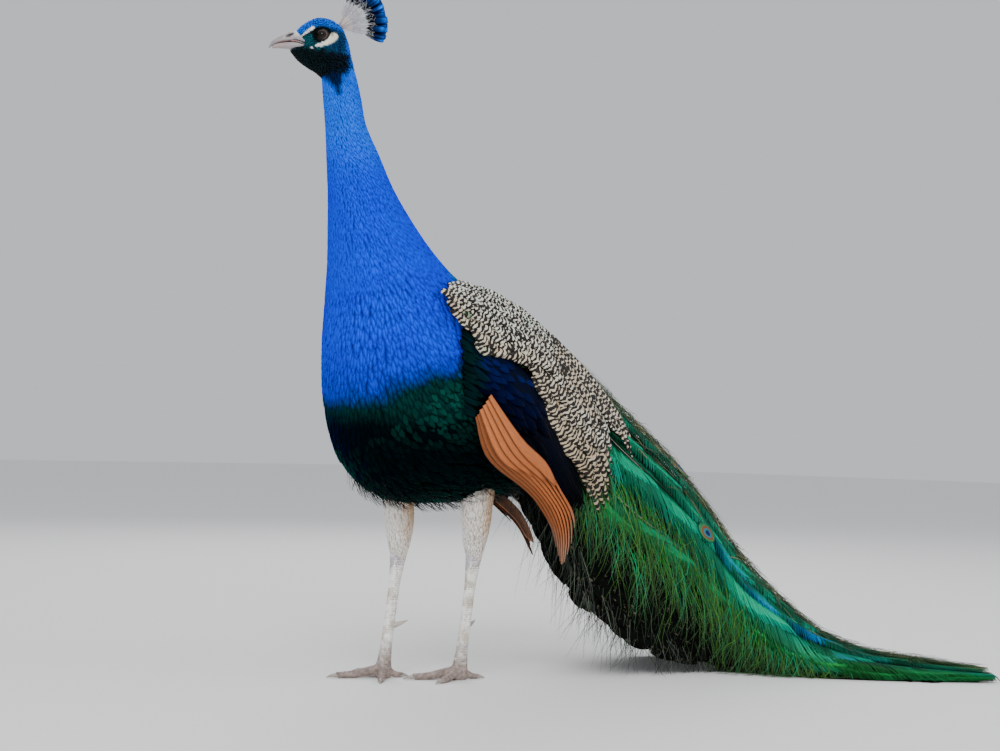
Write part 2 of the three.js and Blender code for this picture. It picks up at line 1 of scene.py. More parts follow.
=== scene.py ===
"""A standing Indian peacock, life size: skin, plumage, head, legs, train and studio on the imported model.

Shape sizes are in millimetres from the floor point between the feet. The bill points to -X, the bird's left
side is -Y and Z is up. placed() moves them into the model's own frame, in metres.
"""

import logging
import math
from dataclasses import dataclass, field
from enum import Enum
from typing import Sequence

import bpy
import numpy as np
from mathutils import Matrix


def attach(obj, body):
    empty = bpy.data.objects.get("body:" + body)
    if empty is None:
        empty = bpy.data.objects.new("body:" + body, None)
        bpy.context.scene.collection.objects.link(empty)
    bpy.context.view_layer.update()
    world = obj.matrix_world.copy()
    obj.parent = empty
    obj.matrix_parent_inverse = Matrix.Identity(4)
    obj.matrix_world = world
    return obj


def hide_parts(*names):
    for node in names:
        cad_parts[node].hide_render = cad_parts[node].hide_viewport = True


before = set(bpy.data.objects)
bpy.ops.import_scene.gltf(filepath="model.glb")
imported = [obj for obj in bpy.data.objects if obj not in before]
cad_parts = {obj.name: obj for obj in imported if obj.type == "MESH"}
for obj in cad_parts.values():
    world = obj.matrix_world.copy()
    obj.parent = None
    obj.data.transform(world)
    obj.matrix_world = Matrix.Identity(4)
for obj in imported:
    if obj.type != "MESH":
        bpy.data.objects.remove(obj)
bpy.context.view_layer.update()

LOG = logging.getLogger("peacock")
Array = np.ndarray
Frames = tuple[Array, Array, Array]
Colour = tuple[float, float, float]
Span = tuple[float, float]
Piece = bpy.types.Object
Random = np.random.Generator

MM = 0.001
TURN = 2 * math.pi
BODY = "root"
# The middle of the model, measured from the floor point between the feet.
CENTRE = np.array([247.3, -117.1, 0.0])
# Sheets of down: how thick they are and how far they ripple.
SHEET_THICK = 1.2
SHEET_RIPPLE = 1.6
# Feathers that meet the floor: where they start to flatten, their lowest height and how soon they reach it.
REST_BELOW = 1.5
REST_LOWEST = 0.3
REST_FADE = 1.2
# Width of a small feather's patch on the baked map, and how far apart the noise of two feathers is read.
TUFT_PATCH = 0.003
SEED_STRIDE = 57.0

# The head: which way it faces, the point between the eyes and how far below it their centres lie.
HEAD_TURN = math.radians(32)
FORWARD = np.array([-math.cos(HEAD_TURN), math.sin(HEAD_TURN), 0.0])
LEFTWARD = np.array([-math.sin(HEAD_TURN), -math.cos(HEAD_TURN), 0.0])
UPWARD = np.array([0.0, 0.0, 1.0])
EYE_MIDDLE = np.array([-155.0, 11.0, 845.0])
EYE_DROP = 6.0


class Side(Enum):
    """The bird's own left and right; the value is the sign of its outward direction towards -Y."""

    LEFT = 1
    RIGHT = -1

    @property
    def word(self) -> str:
        """The side as it stands in names."""
        return self.name.lower()


class Slot(Enum):
    """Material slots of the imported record."""

    NECK = "neck_feathers"
    HEAD = "head_feathers"
    BELLY = "belly_feathers"
    CREST = "crest_feathers"
    EYE = "eye"
    BILL = "bill"
    BARRED = "wing_barred"
    DARK = "wing_dark"
    RUFOUS = "wing_rufous"
    THIGH = "thigh_feathers"
    LEG = "leg_skin"
    CLAW = "claw"
    TRAIN = "train_feathers"
    TAIL = "tail_feathers"


# ---------------------------------------------------------------- numbers


def placed(points: Array) -> Array:
    """Moves millimetre points about the feet into the model's frame, in metres."""
    return (points - CENTRE) * MM


def unit(vectors: Array) -> Array:
    """Scales vectors to a length of one."""
    return vectors / (np.linalg.norm(vectors, axis=-1, keepdims=True) + 1e-9)


def smooth(low: float, high: float, value: Array) -> Array:
    """Rises smoothly from 0 at low to 1 at high."""
    share = np.clip((value - low) / (high - low), 0, 1)
    return share * share * (3 - 2 * share)


def tied(*values: Array) -> Array:
    """Ties values together side by side for each place."""
    return np.stack(values, axis=-1)


def steps(count: int) -> Array:
    """Evenly spaced shares from 0 to 1."""
    return np.linspace(0, 1, count)


def blend(stations: Array, u: Array) -> Array:
    """Runs a smooth curve through evenly spaced stations, and straight on beyond its ends.

    Args:
        stations: One row of values per station.
        u: Where to read the curve, from 0 at the first station to 1 at the last.

    Returns:
        The row of values at each u.
    """
    last = len(stations) - 1
    at = np.asarray(u, float) * last
    inside = np.clip(at, 0, last)
    i = np.minimum(inside.astype(int), last - 1)
    f = (inside - i)[..., None]
    a, b, c, d = (stations[np.clip(i + step, 0, last)] for step in (-1, 0, 1, 2))
    slope, next_slope = (c - a) / 2, (d - b) / 2
    start = (2 * f**3 - 3 * f**2 + 1) * b + (f**3 - 2 * f**2 + f) * slope
    end = (3 * f**2 - 2 * f**3) * c + (f**3 - f**2) * next_slope
    beyond = (at - inside)[..., None]
    return start + end + beyond * np.where(beyond > 0, next_slope, slope)


def lumps(points: Array, size: float, seed: int = 0) -> Array:
    """Smooth noise over space.

    Args:
        points: Places in millimetres.
        size: Width of one lump.
        seed: Picks another pattern.

    Returns:
        A value from 0 to 1 at each place.
    """
    grid = points / size
    cell = np.floor(grid)
    f = grid - cell
    f = f * f * (3 - 2 * f)
    total = np.zeros(points.shape[:-1])
    for corner in range(8):
        step = np.array([corner & 1, corner >> 1 & 1, corner >> 2])
        at = cell + step
        mark = at[..., 0] * 12.9898 + at[..., 1] * 78.233 + at[..., 2] * 37.719 + seed * 4.581
        weight = np.prod(np.where(step, f, 1 - f), axis=-1)
        total += weight * ((np.sin(mark) * 43758.5453) % 1.0)
    return total


def mixed(low: Array, high: Array, share: Array) -> Array:
    """Mixes two colours, or two sets of colours, by a share for each place."""
    return low + (np.asarray(high) - low) * np.asarray(share)[..., None]


# ---------------------------------------------------------------- finishes


class Signal:
    """A value on its way through a material's nodes: arithmetic on it adds maths nodes."""

    def __init__(self, board: "Board", socket: bpy.types.NodeSocket) -> None:
        """Keeps the board that it runs on and the socket that it leaves."""
        self.board, self.socket = board, socket

    def __add__(self, other: object) -> "Signal":
        """The sum."""
        return self.board.maths("ADD", self, other)

    def __sub__(self, other: object) -> "Signal":
        """The difference."""
        return self.board.maths("SUBTRACT", self, other)

    def __mul__(self, other: object) -> "Signal":
        """The product."""
        return self.board.maths("MULTIPLY", self, other)

    def __pow__(self, power: float) -> "Signal":
        """The power."""
        return self.board.maths("POWER", self, power)

    def __abs__(self) -> "Signal":
        """The size without the sign."""
        return self.board.maths("ABSOLUTE", self)

    def scaled(self, gain: object, base: object) -> "Signal":
        """The product with a gain, added to a base."""
        return self.board.maths("MULTIPLY_ADD", self, gain, base)


class Board:
    """A material while its nodes are being wired."""

    def __init__(self, name: str) -> None:
        """Starts a material with an empty Principled shader.

        Args:
            name: The material's name.
        """
        material = bpy.data.materials.new(name)
        material.use_nodes = True
        self.tree = material.node_tree
        self.shader = self.tree.nodes["Principled BSDF"]

    def node(self, kind: str, feeds: dict[object, object], output: object = 0, **settings: object) -> Signal:
        """Adds a node.

        Args:
            kind: Its type.
            feeds: What goes into each of its sockets, by name or number.
            output: The socket that is read.
            settings: Its own properties.

        Returns:
            What leaves it.
        """
        made = self.tree.nodes.new(kind)
        for key, value in settings.items():
            setattr(made, key, value)
        for key, value in feeds.items():
            self.feed(made.inputs[key], value)
        return Signal(self, made.outputs[output])

    def feed(self, socket: bpy.types.NodeSocket, value: object) -> None:
        """Links a socket to a signal, or sets its value.

        Args:
            socket: The socket.
            value: A signal, a number, a place or a colour.
        """
        if isinstance(value, Signal):
            self.tree.links.new(value.socket, socket)
        elif socket.type == "RGBA":
            socket.default_value = (*value, 1.0)
        else:
            socket.default_value = value

    def set(self, **values: object) -> None:
        """Sets the shader's own sockets; underscores in the names stand for spaces."""
        for key, value in values.items():
            self.feed(self.shader.inputs[key.replace("_", " ")], value)

    def maths(self, operation: str, *values: object) -> Signal:
        """One step of arithmetic."""
        return self.node("ShaderNodeMath", dict(enumerate(values)), operation=operation)

    def mix(self, share: object, first: object, second: object, way: str = "MIX") -> Signal:
        """Mixes two colours."""
        return self.node("ShaderNodeMix", {0: share, 6: first, 7: second}, 2, data_type="RGBA",
            blend_type=way)

    def ramp(self, source: Signal, stops: list[tuple[float, float | Colour]]) -> Signal:
        """Reads a number or a colour through a curve.

        Args:
            source: Where on the curve to read.
            stops: Each stop's position and its number or colour, in order.

        Returns:
            What is read.
        """
        made = self.node("ShaderNodeValToRGB", {0: source})
        elements = made.socket.node.color_ramp.elements
        while len(elements) < len(stops):
            elements.new(0.5)
        for element, (place, value) in zip(elements, stops):
            element.position = place
            element.color = (*(value if isinstance(value, tuple) else (value,) * 3), 1.0)
        return made

    def noise(self, where: Signal, scale: float, detail: float = 2.0, warp: float = 0.0,
              seed: Signal | None = None) -> Signal:
        """Noise from 0 to 1.

        Args:
            where: Where to read it.
            scale: How fine it is.
            detail: How many finer layers it has.
            warp: How far it is distorted.
            seed: Shifts it through a fourth dimension.

        Returns:
            The noise.
        """
        feeds = {"Vector": where, "Scale": scale, "Detail": detail, "Distortion": warp}
        if seed is None:
            return self.node("ShaderNodeTexNoise", feeds, noise_dimensions="3D")
        return self.node("ShaderNodeTexNoise", {**feeds, "W": seed * SEED_STRIDE}, noise_dimensions="4D")

    @property
    def coat(self) -> Signal:
        """The coat's own colour."""
        return self.node("ShaderNodeAttribute", {}, "Color", attribute_name="coat")

    @property
    def seed(self) -> Signal:
        """A number from 0 to 1 for each feather."""
        return self.node("ShaderNodeAttribute", {}, "Fac", attribute_name="seed")

    @property
    def spots(self) -> Signal:
        """The place on the object, in metres."""
        return self.node("ShaderNodeTexCoord", {}, "Object")

    def map(self, name: str) -> tuple[Signal, Signal]:
        """The two parts of a map."""
        parts = self.node("ShaderNodeSeparateXYZ", {0: self.node("ShaderNodeUVMap", {}, uv_map=name)})
        return parts, Signal(self, parts.socket.node.outputs[1])

    def vector(self, x: object, y: object) -> Signal:
        """Joins two numbers into a place."""
        return self.node("ShaderNodeCombineXYZ", {0: x, 1: y})

    def bump(self, height: Signal, strength: float, distance: float) -> None:
        """Raises the surface by a height of 0 to 1 times the distance in metres."""
        raised = self.node("ShaderNodeBump", {"Strength": strength, "Distance": distance, "Height": height})
        self.feed(self.shader.inputs["Normal"], raised)

    def barbs(self, pitch: float, slant: float = 1.0) -> tuple[Signal, Signal]:
        """Fine lines that run out from the shaft towards the tip.

        Args:
            pitch: Spacing of the lines in centimetres.
            slant: How steeply they run forward.

        Returns:
            The lines from 0 to 1, and the distance from the shaft from 0 to 1.
        """
        across, along = self.map("Lie")
        shake = self.noise(self.spots, 300.0) * (pitch * 1.6)
        turn = (along - abs(across) * slant + shake) * (TURN / pitch)
        edge = abs(self.map("Vane")[0] - 0.5) * 2.0
        return self.maths("SINE", turn).scaled(0.5, 0.5), edge


@dataclass(frozen=True)
class Finish:
    """A finish, known by its name."""

    name: str

    def wire(self, board: Board) -> None:
        """Wires its nodes on a board."""
        raise NotImplementedError

    def material(self) -> bpy.types.Material:
        """Makes the material, or finds it where another piece wears it already.

        Returns:
            The material.
        """
        if self.name not in bpy.data.materials:
            self.wire(Board(self.name))
        return bpy.data.materials[self.name]


@dataclass(frozen=True)
class Plumage(Finish):
    """Body feathers that take their colour from the coat attribute, with fine barbs, darker roots and a
    painted highlight near the tips.
    """

    metal: float = 0.4
    rough: float = 0.42
    root_shade: float = 0.25
    # Colour gain near the tip: a painted highlight, which darkens the tip instead where it is below 1.
    tip_highlight: float = 1.25
    edge_shade: float = 0.8
    pitch: float = 0.06
    spread: float = 0.35
    patchy: float = 0.6
    gloss: float = 0.3
    glare: Colour = (1.0, 1.0, 1.0)

    def wire(self, board: Board) -> None:
        """Wires the nodes.

        Args:
            board: The material's board.
        """
        lines, edge = board.barbs(self.pitch)
        # Along the feather: the darker root, then a painted highlight near the tip.
        tone = board.ramp(board.map("Vane")[1], [(0.0, self.root_shade), (0.45, 1.0), (0.85, self.tip_highlight),
            (1.0, 1.0)])
        rim = board.ramp(edge, [(0.0, 1.0), (0.6, 1.0), (1.0, self.edge_shade)])
        each = board.seed.scaled(self.spread * 2, 1 - self.spread)
        patches = board.noise(board.spots, 60.0).scaled(self.patchy, 1 - self.patchy / 2)
        gain = tone * rim * (each * patches) * lines.scaled(0.2, 0.88)
        board.set(Base_Color=board.mix(1.0, board.coat, gain, "MULTIPLY"), Metallic=self.metal,
            Roughness=patches.scaled(0.2, self.rough - 0.2), Specular_IOR_Level=self.gloss,
            Specular_Tint=self.glare)
        board.bump(lines, 0.35, 0.0002)


@dataclass(frozen=True)
class Barred(Finish):
    """Cream feathers crossed by short wavy black bars."""

    cream: Colour = (0.60, 0.55, 0.46)
    buff: Colour = (0.42, 0.25, 0.12)
    dark: Colour = (0.010, 0.008, 0.007)
    shaft: Colour = (0.12, 0.08, 0.05)
    bar: float = 0.54
    dark_share: float = 0.515

    def wire(self, board: Board) -> None:
        """Wires the nodes.

        Args:
            board: The material's board.
        """
        seed = board.seed
        lines, edge = board.barbs(0.05, 0.7)
        across, along = board.map("Lie")
        arch = abs(across).scaled(0.35, along)
        flat = board.vector(across * 0.62, arch)
        wave = board.noise(flat, 1.0 / self.bar * 1.45, 1.2, 0.55, seed)
        bend = board.noise(flat, 0.9, 1.0, 0.0, seed)
        beat = board.maths("SINE", bend.scaled(8.0, arch * (TURN / self.bar))).scaled(0.14, wave)
        fray = (lines - 0.5).scaled(0.035, beat)
        bars = board.ramp(fray, [(self.dark_share, 1.0), (self.dark_share + 0.025, 0.0)])
        stain = board.ramp(board.noise(flat, 0.8, 1.0, 0.0, seed), [(0.5, 0.0), (0.75, 0.55)])
        ground = board.mix(stain, board.mix(1.0, self.cream, board.coat, "MULTIPLY"), self.buff)
        shaft = board.ramp(edge, [(0.0, 1.0), (0.05, 0.0)])
        board.set(Base_Color=board.mix(shaft * 0.6, board.mix(bars, ground, self.dark), self.shaft),
            Roughness=bars.scaled(-0.1, 0.66), Specular_IOR_Level=0.2)
        board.bump(shaft.scaled(2.0, lines), 0.4, 0.00025)


@dataclass(frozen=True)
class Flight(Finish):
    """Stiff flight feathers: a shaft, close barbs, and edges paler or darker than the vane."""

    shaft: Colour
    edge: Colour
    edge_from: float = 0.8
    speck: Colour | None = None
    metal: float = 0.0
    rough: float = 0.5
    gloss: float = 0.3

    def wire(self, board: Board) -> None:
        """Wires the nodes.

        Args:
            board: The material's board.
        """
        seed = board.seed
        lines, edge = board.barbs(0.07, 1.1)
        across, along = board.map("Lie")
        streaks = board.noise(board.vector(across * 9.0, along), 1.3, 3.0, 0.2, seed)
        vane = board.mix(1.0, board.coat, streaks.scaled(0.9, 0.55) * lines.scaled(0.2, 0.88), "MULTIPLY")
        vane = board.mix(board.ramp(edge, [(self.edge_from, 0.0), (1.0, 0.85)]), vane, self.edge)
        if self.speck is not None:
            specks = board.noise(board.vector(across, along * 0.45), 3.4, 1.0, 0.0, seed)
            vane = board.mix(board.ramp(specks, [(0.65, 0.0), (0.70, 1.0)]), vane, self.speck)
        shaft = board.ramp(edge, [(0.0, 1.0), (0.05, 1.0), (0.1, 0.0)])
        board.set(Base_Color=board.mix(shaft, vane, self.shaft), Metallic=self.metal,
            Roughness=streaks.scaled(0.25, self.rough - 0.12), Specular_IOR_Level=self.gloss)
        board.bump(shaft.scaled(3.0, lines), 0.5, 0.0003)


@dataclass(frozen=True)
class Herl(Finish):
    """Loose shining barbs of the train."""

    metal: float = 0.85
    rough: float = 0.42
    uneven: float = 0.5

    def wire(self, board: Board) -> None:
        """Wires the nodes.

        Args:
            board: The material's board.
        """
        seed = board.seed
        across, along = board.map("Lie")
        glints = board.noise(board.vector(across, along * 0.5), 3.0, 2.0, 0.0, seed)
        each = seed.scaled(self.uneven, 1 - self.uneven / 2)
        gain = glints.scaled(self.uneven * 2, 1 - self.uneven) * each
        board.set(Base_Color=board.mix(1.0, board.coat, gain, "MULTIPLY"), Metallic=self.metal,
            Roughness=glints.scaled(0.3, self.rough - 0.1))
        board.bump(board.noise(board.vector(across * 20.0, along), 4.0, 2.0, 0.0, seed), 0.3, 0.0002)


@dataclass(frozen=True)
class Ocellus(Finish):
    """The eye of a train feather: a dark heart in turquoise, bronze and gold-green rings."""

    heart: Colour = (0.004, 0.006, 0.10)
    turquoise: Colour = (0.003, 0.26, 0.36)
    bronze: Colour = (0.26, 0.085, 0.03)
    gold: Colour = (0.20, 0.26, 0.04)
    green: Colour = (0.02, 0.24, 0.10)
    shade: Colour = (0.0, 0.01, 0.01)

    def wire(self, board: Board) -> None:
        """Wires the nodes.

        Args:
            board: The material's board.
        """
        lines, _ = board.barbs(0.09, 1.2)
        x, y = board.map("Vane")
        aside, onward = abs((x - 0.5) * 2.0), (y - 0.56) * 2.1
        square = aside ** 2.0 + abs(onward + aside * 0.22) ** 2.0
        reach = board.maths("SQRT", square) + lines.scaled(0.05, -0.025)
        rings = board.ramp(reach, [(0.0, self.heart), (0.27, self.heart), (0.31, self.turquoise),
            (0.48, self.turquoise), (0.53, self.bronze), (0.72, self.bronze), (0.78, self.gold),
            (0.86, self.green), (1.0, self.green)])
        board.set(Base_Color=board.mix(lines.scaled(-0.25, 0.45), rings, self.shade), Metallic=0.7,
            Roughness=lines.scaled(0.12, 0.40))
        board.bump(lines, 0.4, 0.0003)


@dataclass(frozen=True)
class Hide(Finish):
    """Skin in the colours of the coat above it, pebbled and finely folded."""

    grain: float = 900.0
    rough: float = 0.62
    depth: float = 0.0004
    metal: float = 0.0
    gloss: float = 0.12

    def wire(self, board: Board) -> None:
        """Wires the nodes.

        Args:
            board: The material's board.
        """
        where = board.spots
        cells = board.node("ShaderNodeTexVoronoi", {"Vector": where, "Scale": self.grain}, "Distance")
        folds = board.noise(where, 220.0, 4.0, 0.4)
        board.set(Base_Color=board.mix(1.0, board.coat, folds.scaled(0.5, 0.75), "MULTIPLY"),
            Metallic=self.metal, Roughness=folds.scaled(0.2, self.rough - 0.1),
            Specular_IOR_Level=self.gloss)
        board.bump(folds.scaled(0.8, cells.scaled(-1.0, 1.0)), 0.5, self.depth)


@dataclass(frozen=True)
class Horn(Finish):
    """Bill, claws and spurs: streaked horn with worn, paler patches."""

    rough: float = 0.36
    streak: float = 0.35
    stretch: Span = (16.0, 2.0)
    pale: Colour = (0.62, 0.58, 0.54)

    def wire(self, board: Board) -> None:
        """Wires the nodes.

        Args:
            board: The material's board.
        """
        x, y = board.map("Vane")
        grain = board.noise(board.vector(x * self.stretch[0], y * self.stretch[1]), 2.2, 4.0, 0.3)
        wear = board.noise(board.spots, 180.0, 3.0)
        worn = board.mix(board.ramp(wear, [(0.5, 0.0), (0.8, 0.25)]), board.coat, self.pale)
        board.set(Base_Color=board.mix(1.0, worn, grain.scaled(self.streak * 2, 1 - self.streak),
            "MULTIPLY"), Roughness=wear.scaled(0.25, self.rough - 0.1), Coat_Weight=0.15,
            Coat_Roughness=0.3)
        board.bump(wear.scaled(0.5, grain), 0.35, 0.0003)


@dataclass(frozen=True)
class WetEye(Finish):
    """The eyeball: a black pupil, a streaked brown iris and a clear wet surface."""

    pupil: float = 0.24
    iris: float = 0.46
    brown: Colour = (0.010, 0.005, 0.003)
    fleck: Colour = (0.040, 0.015, 0.008)
    black: Colour = (0.001, 0.001, 0.001)

    def wire(self, board: Board) -> None:
        """Wires the nodes.

        Args:
            board: The material's board.
        """
        turn, out = board.map("Vane")
        rays = board.noise(board.vector(turn * 60.0, out * 3.0), 1.0, 3.0)
        streaked = board.mix(board.ramp(rays, [(0.35, 0.0), (0.7, 1.0)]), self.brown, self.fleck)
        rings = board.ramp(out, [(0.0, 1.0), (self.iris - 0.14, 1.0), (self.iris, 0.2), (1.0, 0.1)])
        iris = board.mix(1.0, streaked, rings, "MULTIPLY")
        hole = board.ramp(out, [(self.pupil, 1.0), (self.pupil + 0.03, 0.0)])
        board.set(Base_Color=board.mix(hole, iris, self.black), Roughness=rays.scaled(0.04, 0.05),
            Coat_Weight=0.2, Coat_Roughness=0.01, IOR=1.38, Specular_IOR_Level=0.2)
        board.bump(rays, 0.05, 0.0001)


@dataclass(frozen=True)
class PaleFloor(Finish):
    """A plain pale studio floor with a barely visible grain."""

    tone: Colour = (0.87, 0.87, 0.86)
    grey: Colour = (0.6, 0.6, 0.59)

    def wire(self, board: Board) -> None:
        """Wires the nodes.

        Args:
            board: The material's board.
        """
        grain = board.noise(board.spots, 90.0, 4.0)
        board.set(Base_Color=board.mix(grain * 0.12, self.tone, self.grey),
            Roughness=grain.scaled(0.1, 0.75))
        board.bump(grain, 0.1, 0.0004)


# ---------------------------------------------------------------- meshes


def linked(name: str, data: bpy.types.ID) -> Piece:
    """Makes an object and puts it into the scene.

    Args:
        name: Its name.
        data: Its mesh, light or camera.

    Returns:
        The object.
    """
    made = bpy.data.objects.new(name, data)
    bpy.context.scene.collection.objects.link(made)
    return made


def dress(piece: Piece, finish: Finish, nodes: Sequence[str]) -> None:
    """Gives a piece its finish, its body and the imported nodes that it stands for.

    Args:
        piece: The new piece.
        finish: Its finish.
        nodes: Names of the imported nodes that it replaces.
    """
    piece.data.materials.append(finish.material())
    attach(piece, BODY)
    if nodes:
        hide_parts(*nodes)
    faces = np.empty(len(piece.data.polygons), np.int32)
    piece.data.polygons.foreach_get("loop_total", faces)
    LOG.info("%s: %d triangles", piece.name, int((faces - 2).sum()))


@dataclass
class MeshParts:
    """What one mesh is made of: points in millimetres, faces, maps and colours for each point."""

    points: Array
    faces: list[Array]
    maps: dict[str, Array]
    colours: Array
    seeds: Array


def make_piece(name: str, parts: MeshParts, finish: Finish, slot: Slot, *nodes: str) -> None:
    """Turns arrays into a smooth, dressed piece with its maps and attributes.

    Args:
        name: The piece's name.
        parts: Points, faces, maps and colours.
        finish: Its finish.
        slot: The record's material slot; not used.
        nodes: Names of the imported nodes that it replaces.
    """
    mesh = bpy.data.meshes.new(name)
    count = len(parts.points)
    mesh.vertices.add(count)
    mesh.vertices.foreach_set("co", placed(parts.points).astype(np.float32).ravel())
    corners = np.concatenate([f.ravel() for f in parts.faces])
    totals = np.concatenate([np.full(len(f), f.shape[1]) for f in parts.faces])
    starts = np.concatenate([[0], np.cumsum(totals)[:-1]])
    mesh.loops.add(len(corners))
    mesh.loops.foreach_set("vertex_index", corners.astype(np.int32))
    mesh.polygons.add(len(totals))
    mesh.polygons.foreach_set("loop_start", starts.astype(np.int32))
    mesh.polygons.foreach_set("loop_total", totals.astype(np.int32))
    mesh.polygons.foreach_set("use_smooth", np.ones(len(totals), bool))
    mesh.update(calc_edges=True)
    for title, places in parts.maps.items():
        layer = mesh.uv_layers.new(name=title)
        layer.data.foreach_set("uv", places[corners].astype(np.float32).ravel())
    coat = mesh.attributes.new("coat", "FLOAT_COLOR", "POINT")
    colours = np.concatenate([parts.colours, np.ones((count, 1))], axis=1)
    coat.data.foreach_set("color", colours.astype(np.float32).ravel())
    seed = mesh.attributes.new("seed", "FLOAT", "POINT")
    seed.data.foreach_set("value", parts.seeds.astype(np.float32))
    dress(linked(name, mesh), finish, nodes)


@dataclass(frozen=True)
class Cut:
    """The cut of one kind of feather: a thin closed vane, lens shaped across."""

    columns: int
    outline: tuple[float, ...]
    thick: float
    cup: float = 0.2


@dataclass
class Coat:
    """Feathers of one kind, one row each: their middle lines, widths, colours and places on the map."""

    spine: Array
    side: Array
    up: Array
    half: Array
    colour: Array
    place: Array
    patch: Array | float = TUFT_PATCH


def joined(coats: list[Coat]) -> Coat:
    """Joins coats whose feathers have the same number of stops.

    Args:
        coats: The coats.

    Returns:
        One coat with all their feathers.
    """
    patches = [np.broadcast_to(c.patch, len(c.half)) for c in coats]
    kinds = ("spine", "side", "up", "half", "colour", "place")
    rest = {key: np.concatenate([getattr(c, key) for c in coats]) for key in kinds}
    return Coat(**rest, patch=np.concatenate(patches))


def rested(points: Array) -> Array:
    """Presses what would sink into the floor flat on top of it.

    Args:
        points: Places in millimetres, changed in place.

    Returns:
        The places.
    """
    height = points[..., 2]
    low = REST_LOWEST + REST_FADE * np.exp(np.minimum(height - REST_BELOW, 0) / REST_FADE)
    points[..., 2] = np.where(height < REST_BELOW, low, height)
    return points


def weave(name: str, coat: Coat, cut: Cut, rng: Random, finish: Finish, slot: Slot, *nodes: str) -> None:
    """Makes all the feathers of a coat as one joined mesh of thin closed vanes.

    Its maps are OFBake (a patch at the root's place), Vane (across and along, 0 to 1) and Lie (across and
    along in centimetres).

    Args:
        name: The piece's name.
        coat: Where each feather lies.
        cut: The feathers' outline, thickness and cup.
        rng: Source of each feather's seed.
        finish: Its finish.
        slot: The record's material slot.
        nodes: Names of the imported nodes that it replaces.
    """
    count, stops = coat.spine.shape[:2]
    across = np.linspace(-1, 1, cut.columns + 1)
    ring = np.concatenate([across, across[-2:0:-1]])
    face = np.concatenate([np.ones(cut.columns + 1), -np.ones(cut.columns - 1)])
    along = steps(stops)
    shape = np.interp(along, steps(len(cut.outline)), cut.outline)
    wide = coat.half if coat.half.ndim == 2 else coat.half[:, None]
    half = (wide * shape)[:, :, None]
    swell = cut.thick / 2 * (1 - ring**2) * face * (1 - 0.5 * along)[:, None]
    x = half * ring
    z = swell - cut.cup * half * ring**2
    points = (coat.spine[:, :, None] + coat.side[:, :, None] * x[..., None] + coat.up[:, :, None] *
        z[..., None])
    size = len(ring)
    grid = np.arange(count * stops * size).reshape(count, stops, size)
    after = np.roll(grid, -1, axis=2)
    quads = tied(grid[:, :-1], after[:, :-1], after[:, 1:], grid[:, 1:]).reshape(-1, 4)
    caps = np.concatenate([grid[:, 0, ::-1], grid[:, -1]]).reshape(-1, size)
    strides = np.linalg.norm(np.diff(coat.spine, axis=1), axis=-1)
    travelled = np.concatenate([np.zeros((count, 1)), np.cumsum(strides, axis=1)], axis=1)
    whole = (count, stops, size)
    spread_x = np.broadcast_to(ring / 2, whole)
    spread_y = np.broadcast_to(along[:, None], whole)
    patch = np.broadcast_to(coat.patch, count)[:, None, None, None]
    bake = coat.place[:, None, None] + patch * tied(spread_x, spread_y - 0.5)
    lie = tied(x / 10, np.broadcast_to(travelled[:, :, None] / 10, whole))
    colour = coat.colour if coat.colour.ndim == 3 else np.repeat(coat.colour[:, None], stops, axis=1)
    make_piece(name, MeshParts(
        points=rested(points).reshape(-1, 3),
        faces=[quads, caps],
        maps={
            "OFBake": bake.reshape(-1, 2),
            "Vane": tied(spread_x + 0.5, spread_y).reshape(-1, 2),
            "Lie": lie.reshape(-1, 2),
        },
        colours=np.repeat(colour[:, :, None], size, axis=2).reshape(-1, 3),
        seeds=np.repeat(rng.random(count), stops * size),
    ), finish, slot, *nodes)


def loft(name: str, rings: Array, colours: Array, finish: Finish, slot: Slot, *nodes: str,
         hoop: bool = False) -> None:
    """Skins a closed body over rings of points.

    Args:
        name: The piece's name.
        rings: Points of each ring, in order, all turning the same way.
        colours: One colour for each point, or for each ring.
        finish: Its finish.
        slot: The record's material slot.
        nodes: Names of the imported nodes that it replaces.
        hoop: Whether the last ring joins the first, instead of both being capped.
    """
    stops, size = rings.shape[:2]
    grid = np.arange(stops * size).reshape(stops, size)
    after = np.roll(grid, -1, axis=1)
    quads = tied(grid[:-1], after[:-1], after[1:], grid[1:]).reshape(-1, 4)
    ends = tied(grid[-1], after[-1], after[0], grid[0]) if hoop else np.stack([grid[0, ::-1], grid[-1]])
    u, v = np.meshgrid(steps(stops), np.arange(size) / size, indexing="ij")
    both = tied(v, u).reshape(-1, 2)
    make_piece(name, MeshParts(
        points=rings.reshape(-1, 3),
        faces=[quads, ends],
        maps={"OFBake": both, "Vane": both, "Lie": both},
        colours=np.broadcast_to(colours, rings.shape).reshape(-1, 3),
        seeds=np.zeros(stops * size),
    ), finish, slot, *nodes)


def tube_rings(path: Array, wide: Array, high: Array, upward: Array, sides: int) -> Array:
    """Rings of a tapering tube along a path.

    Args:
        path: Points of the middle line.
        wide: Half width across at each point.
        high: Half height at each point.
        upward: Direction that the height is measured in, for all points or for each.
        sides: Points in a ring.

    Returns:
        An array of rings, counter-clockwise about the path's direction.
    """
    ahead = unit(np.gradient(path, axis=0))
    across = unit(np.cross(upward, ahead))
    above = np.cross(ahead, across)
    angle = np.arange(sides) / sides * TURN
    return (path[:, None] + across[:, None] * (np.cos(angle)[None, :, None] * wide[:, None, None]) +
        above[:, None] * (np.sin(angle)[None, :, None] * high[:, None, None]))


# ---------------------------------------------------------------- surfaces


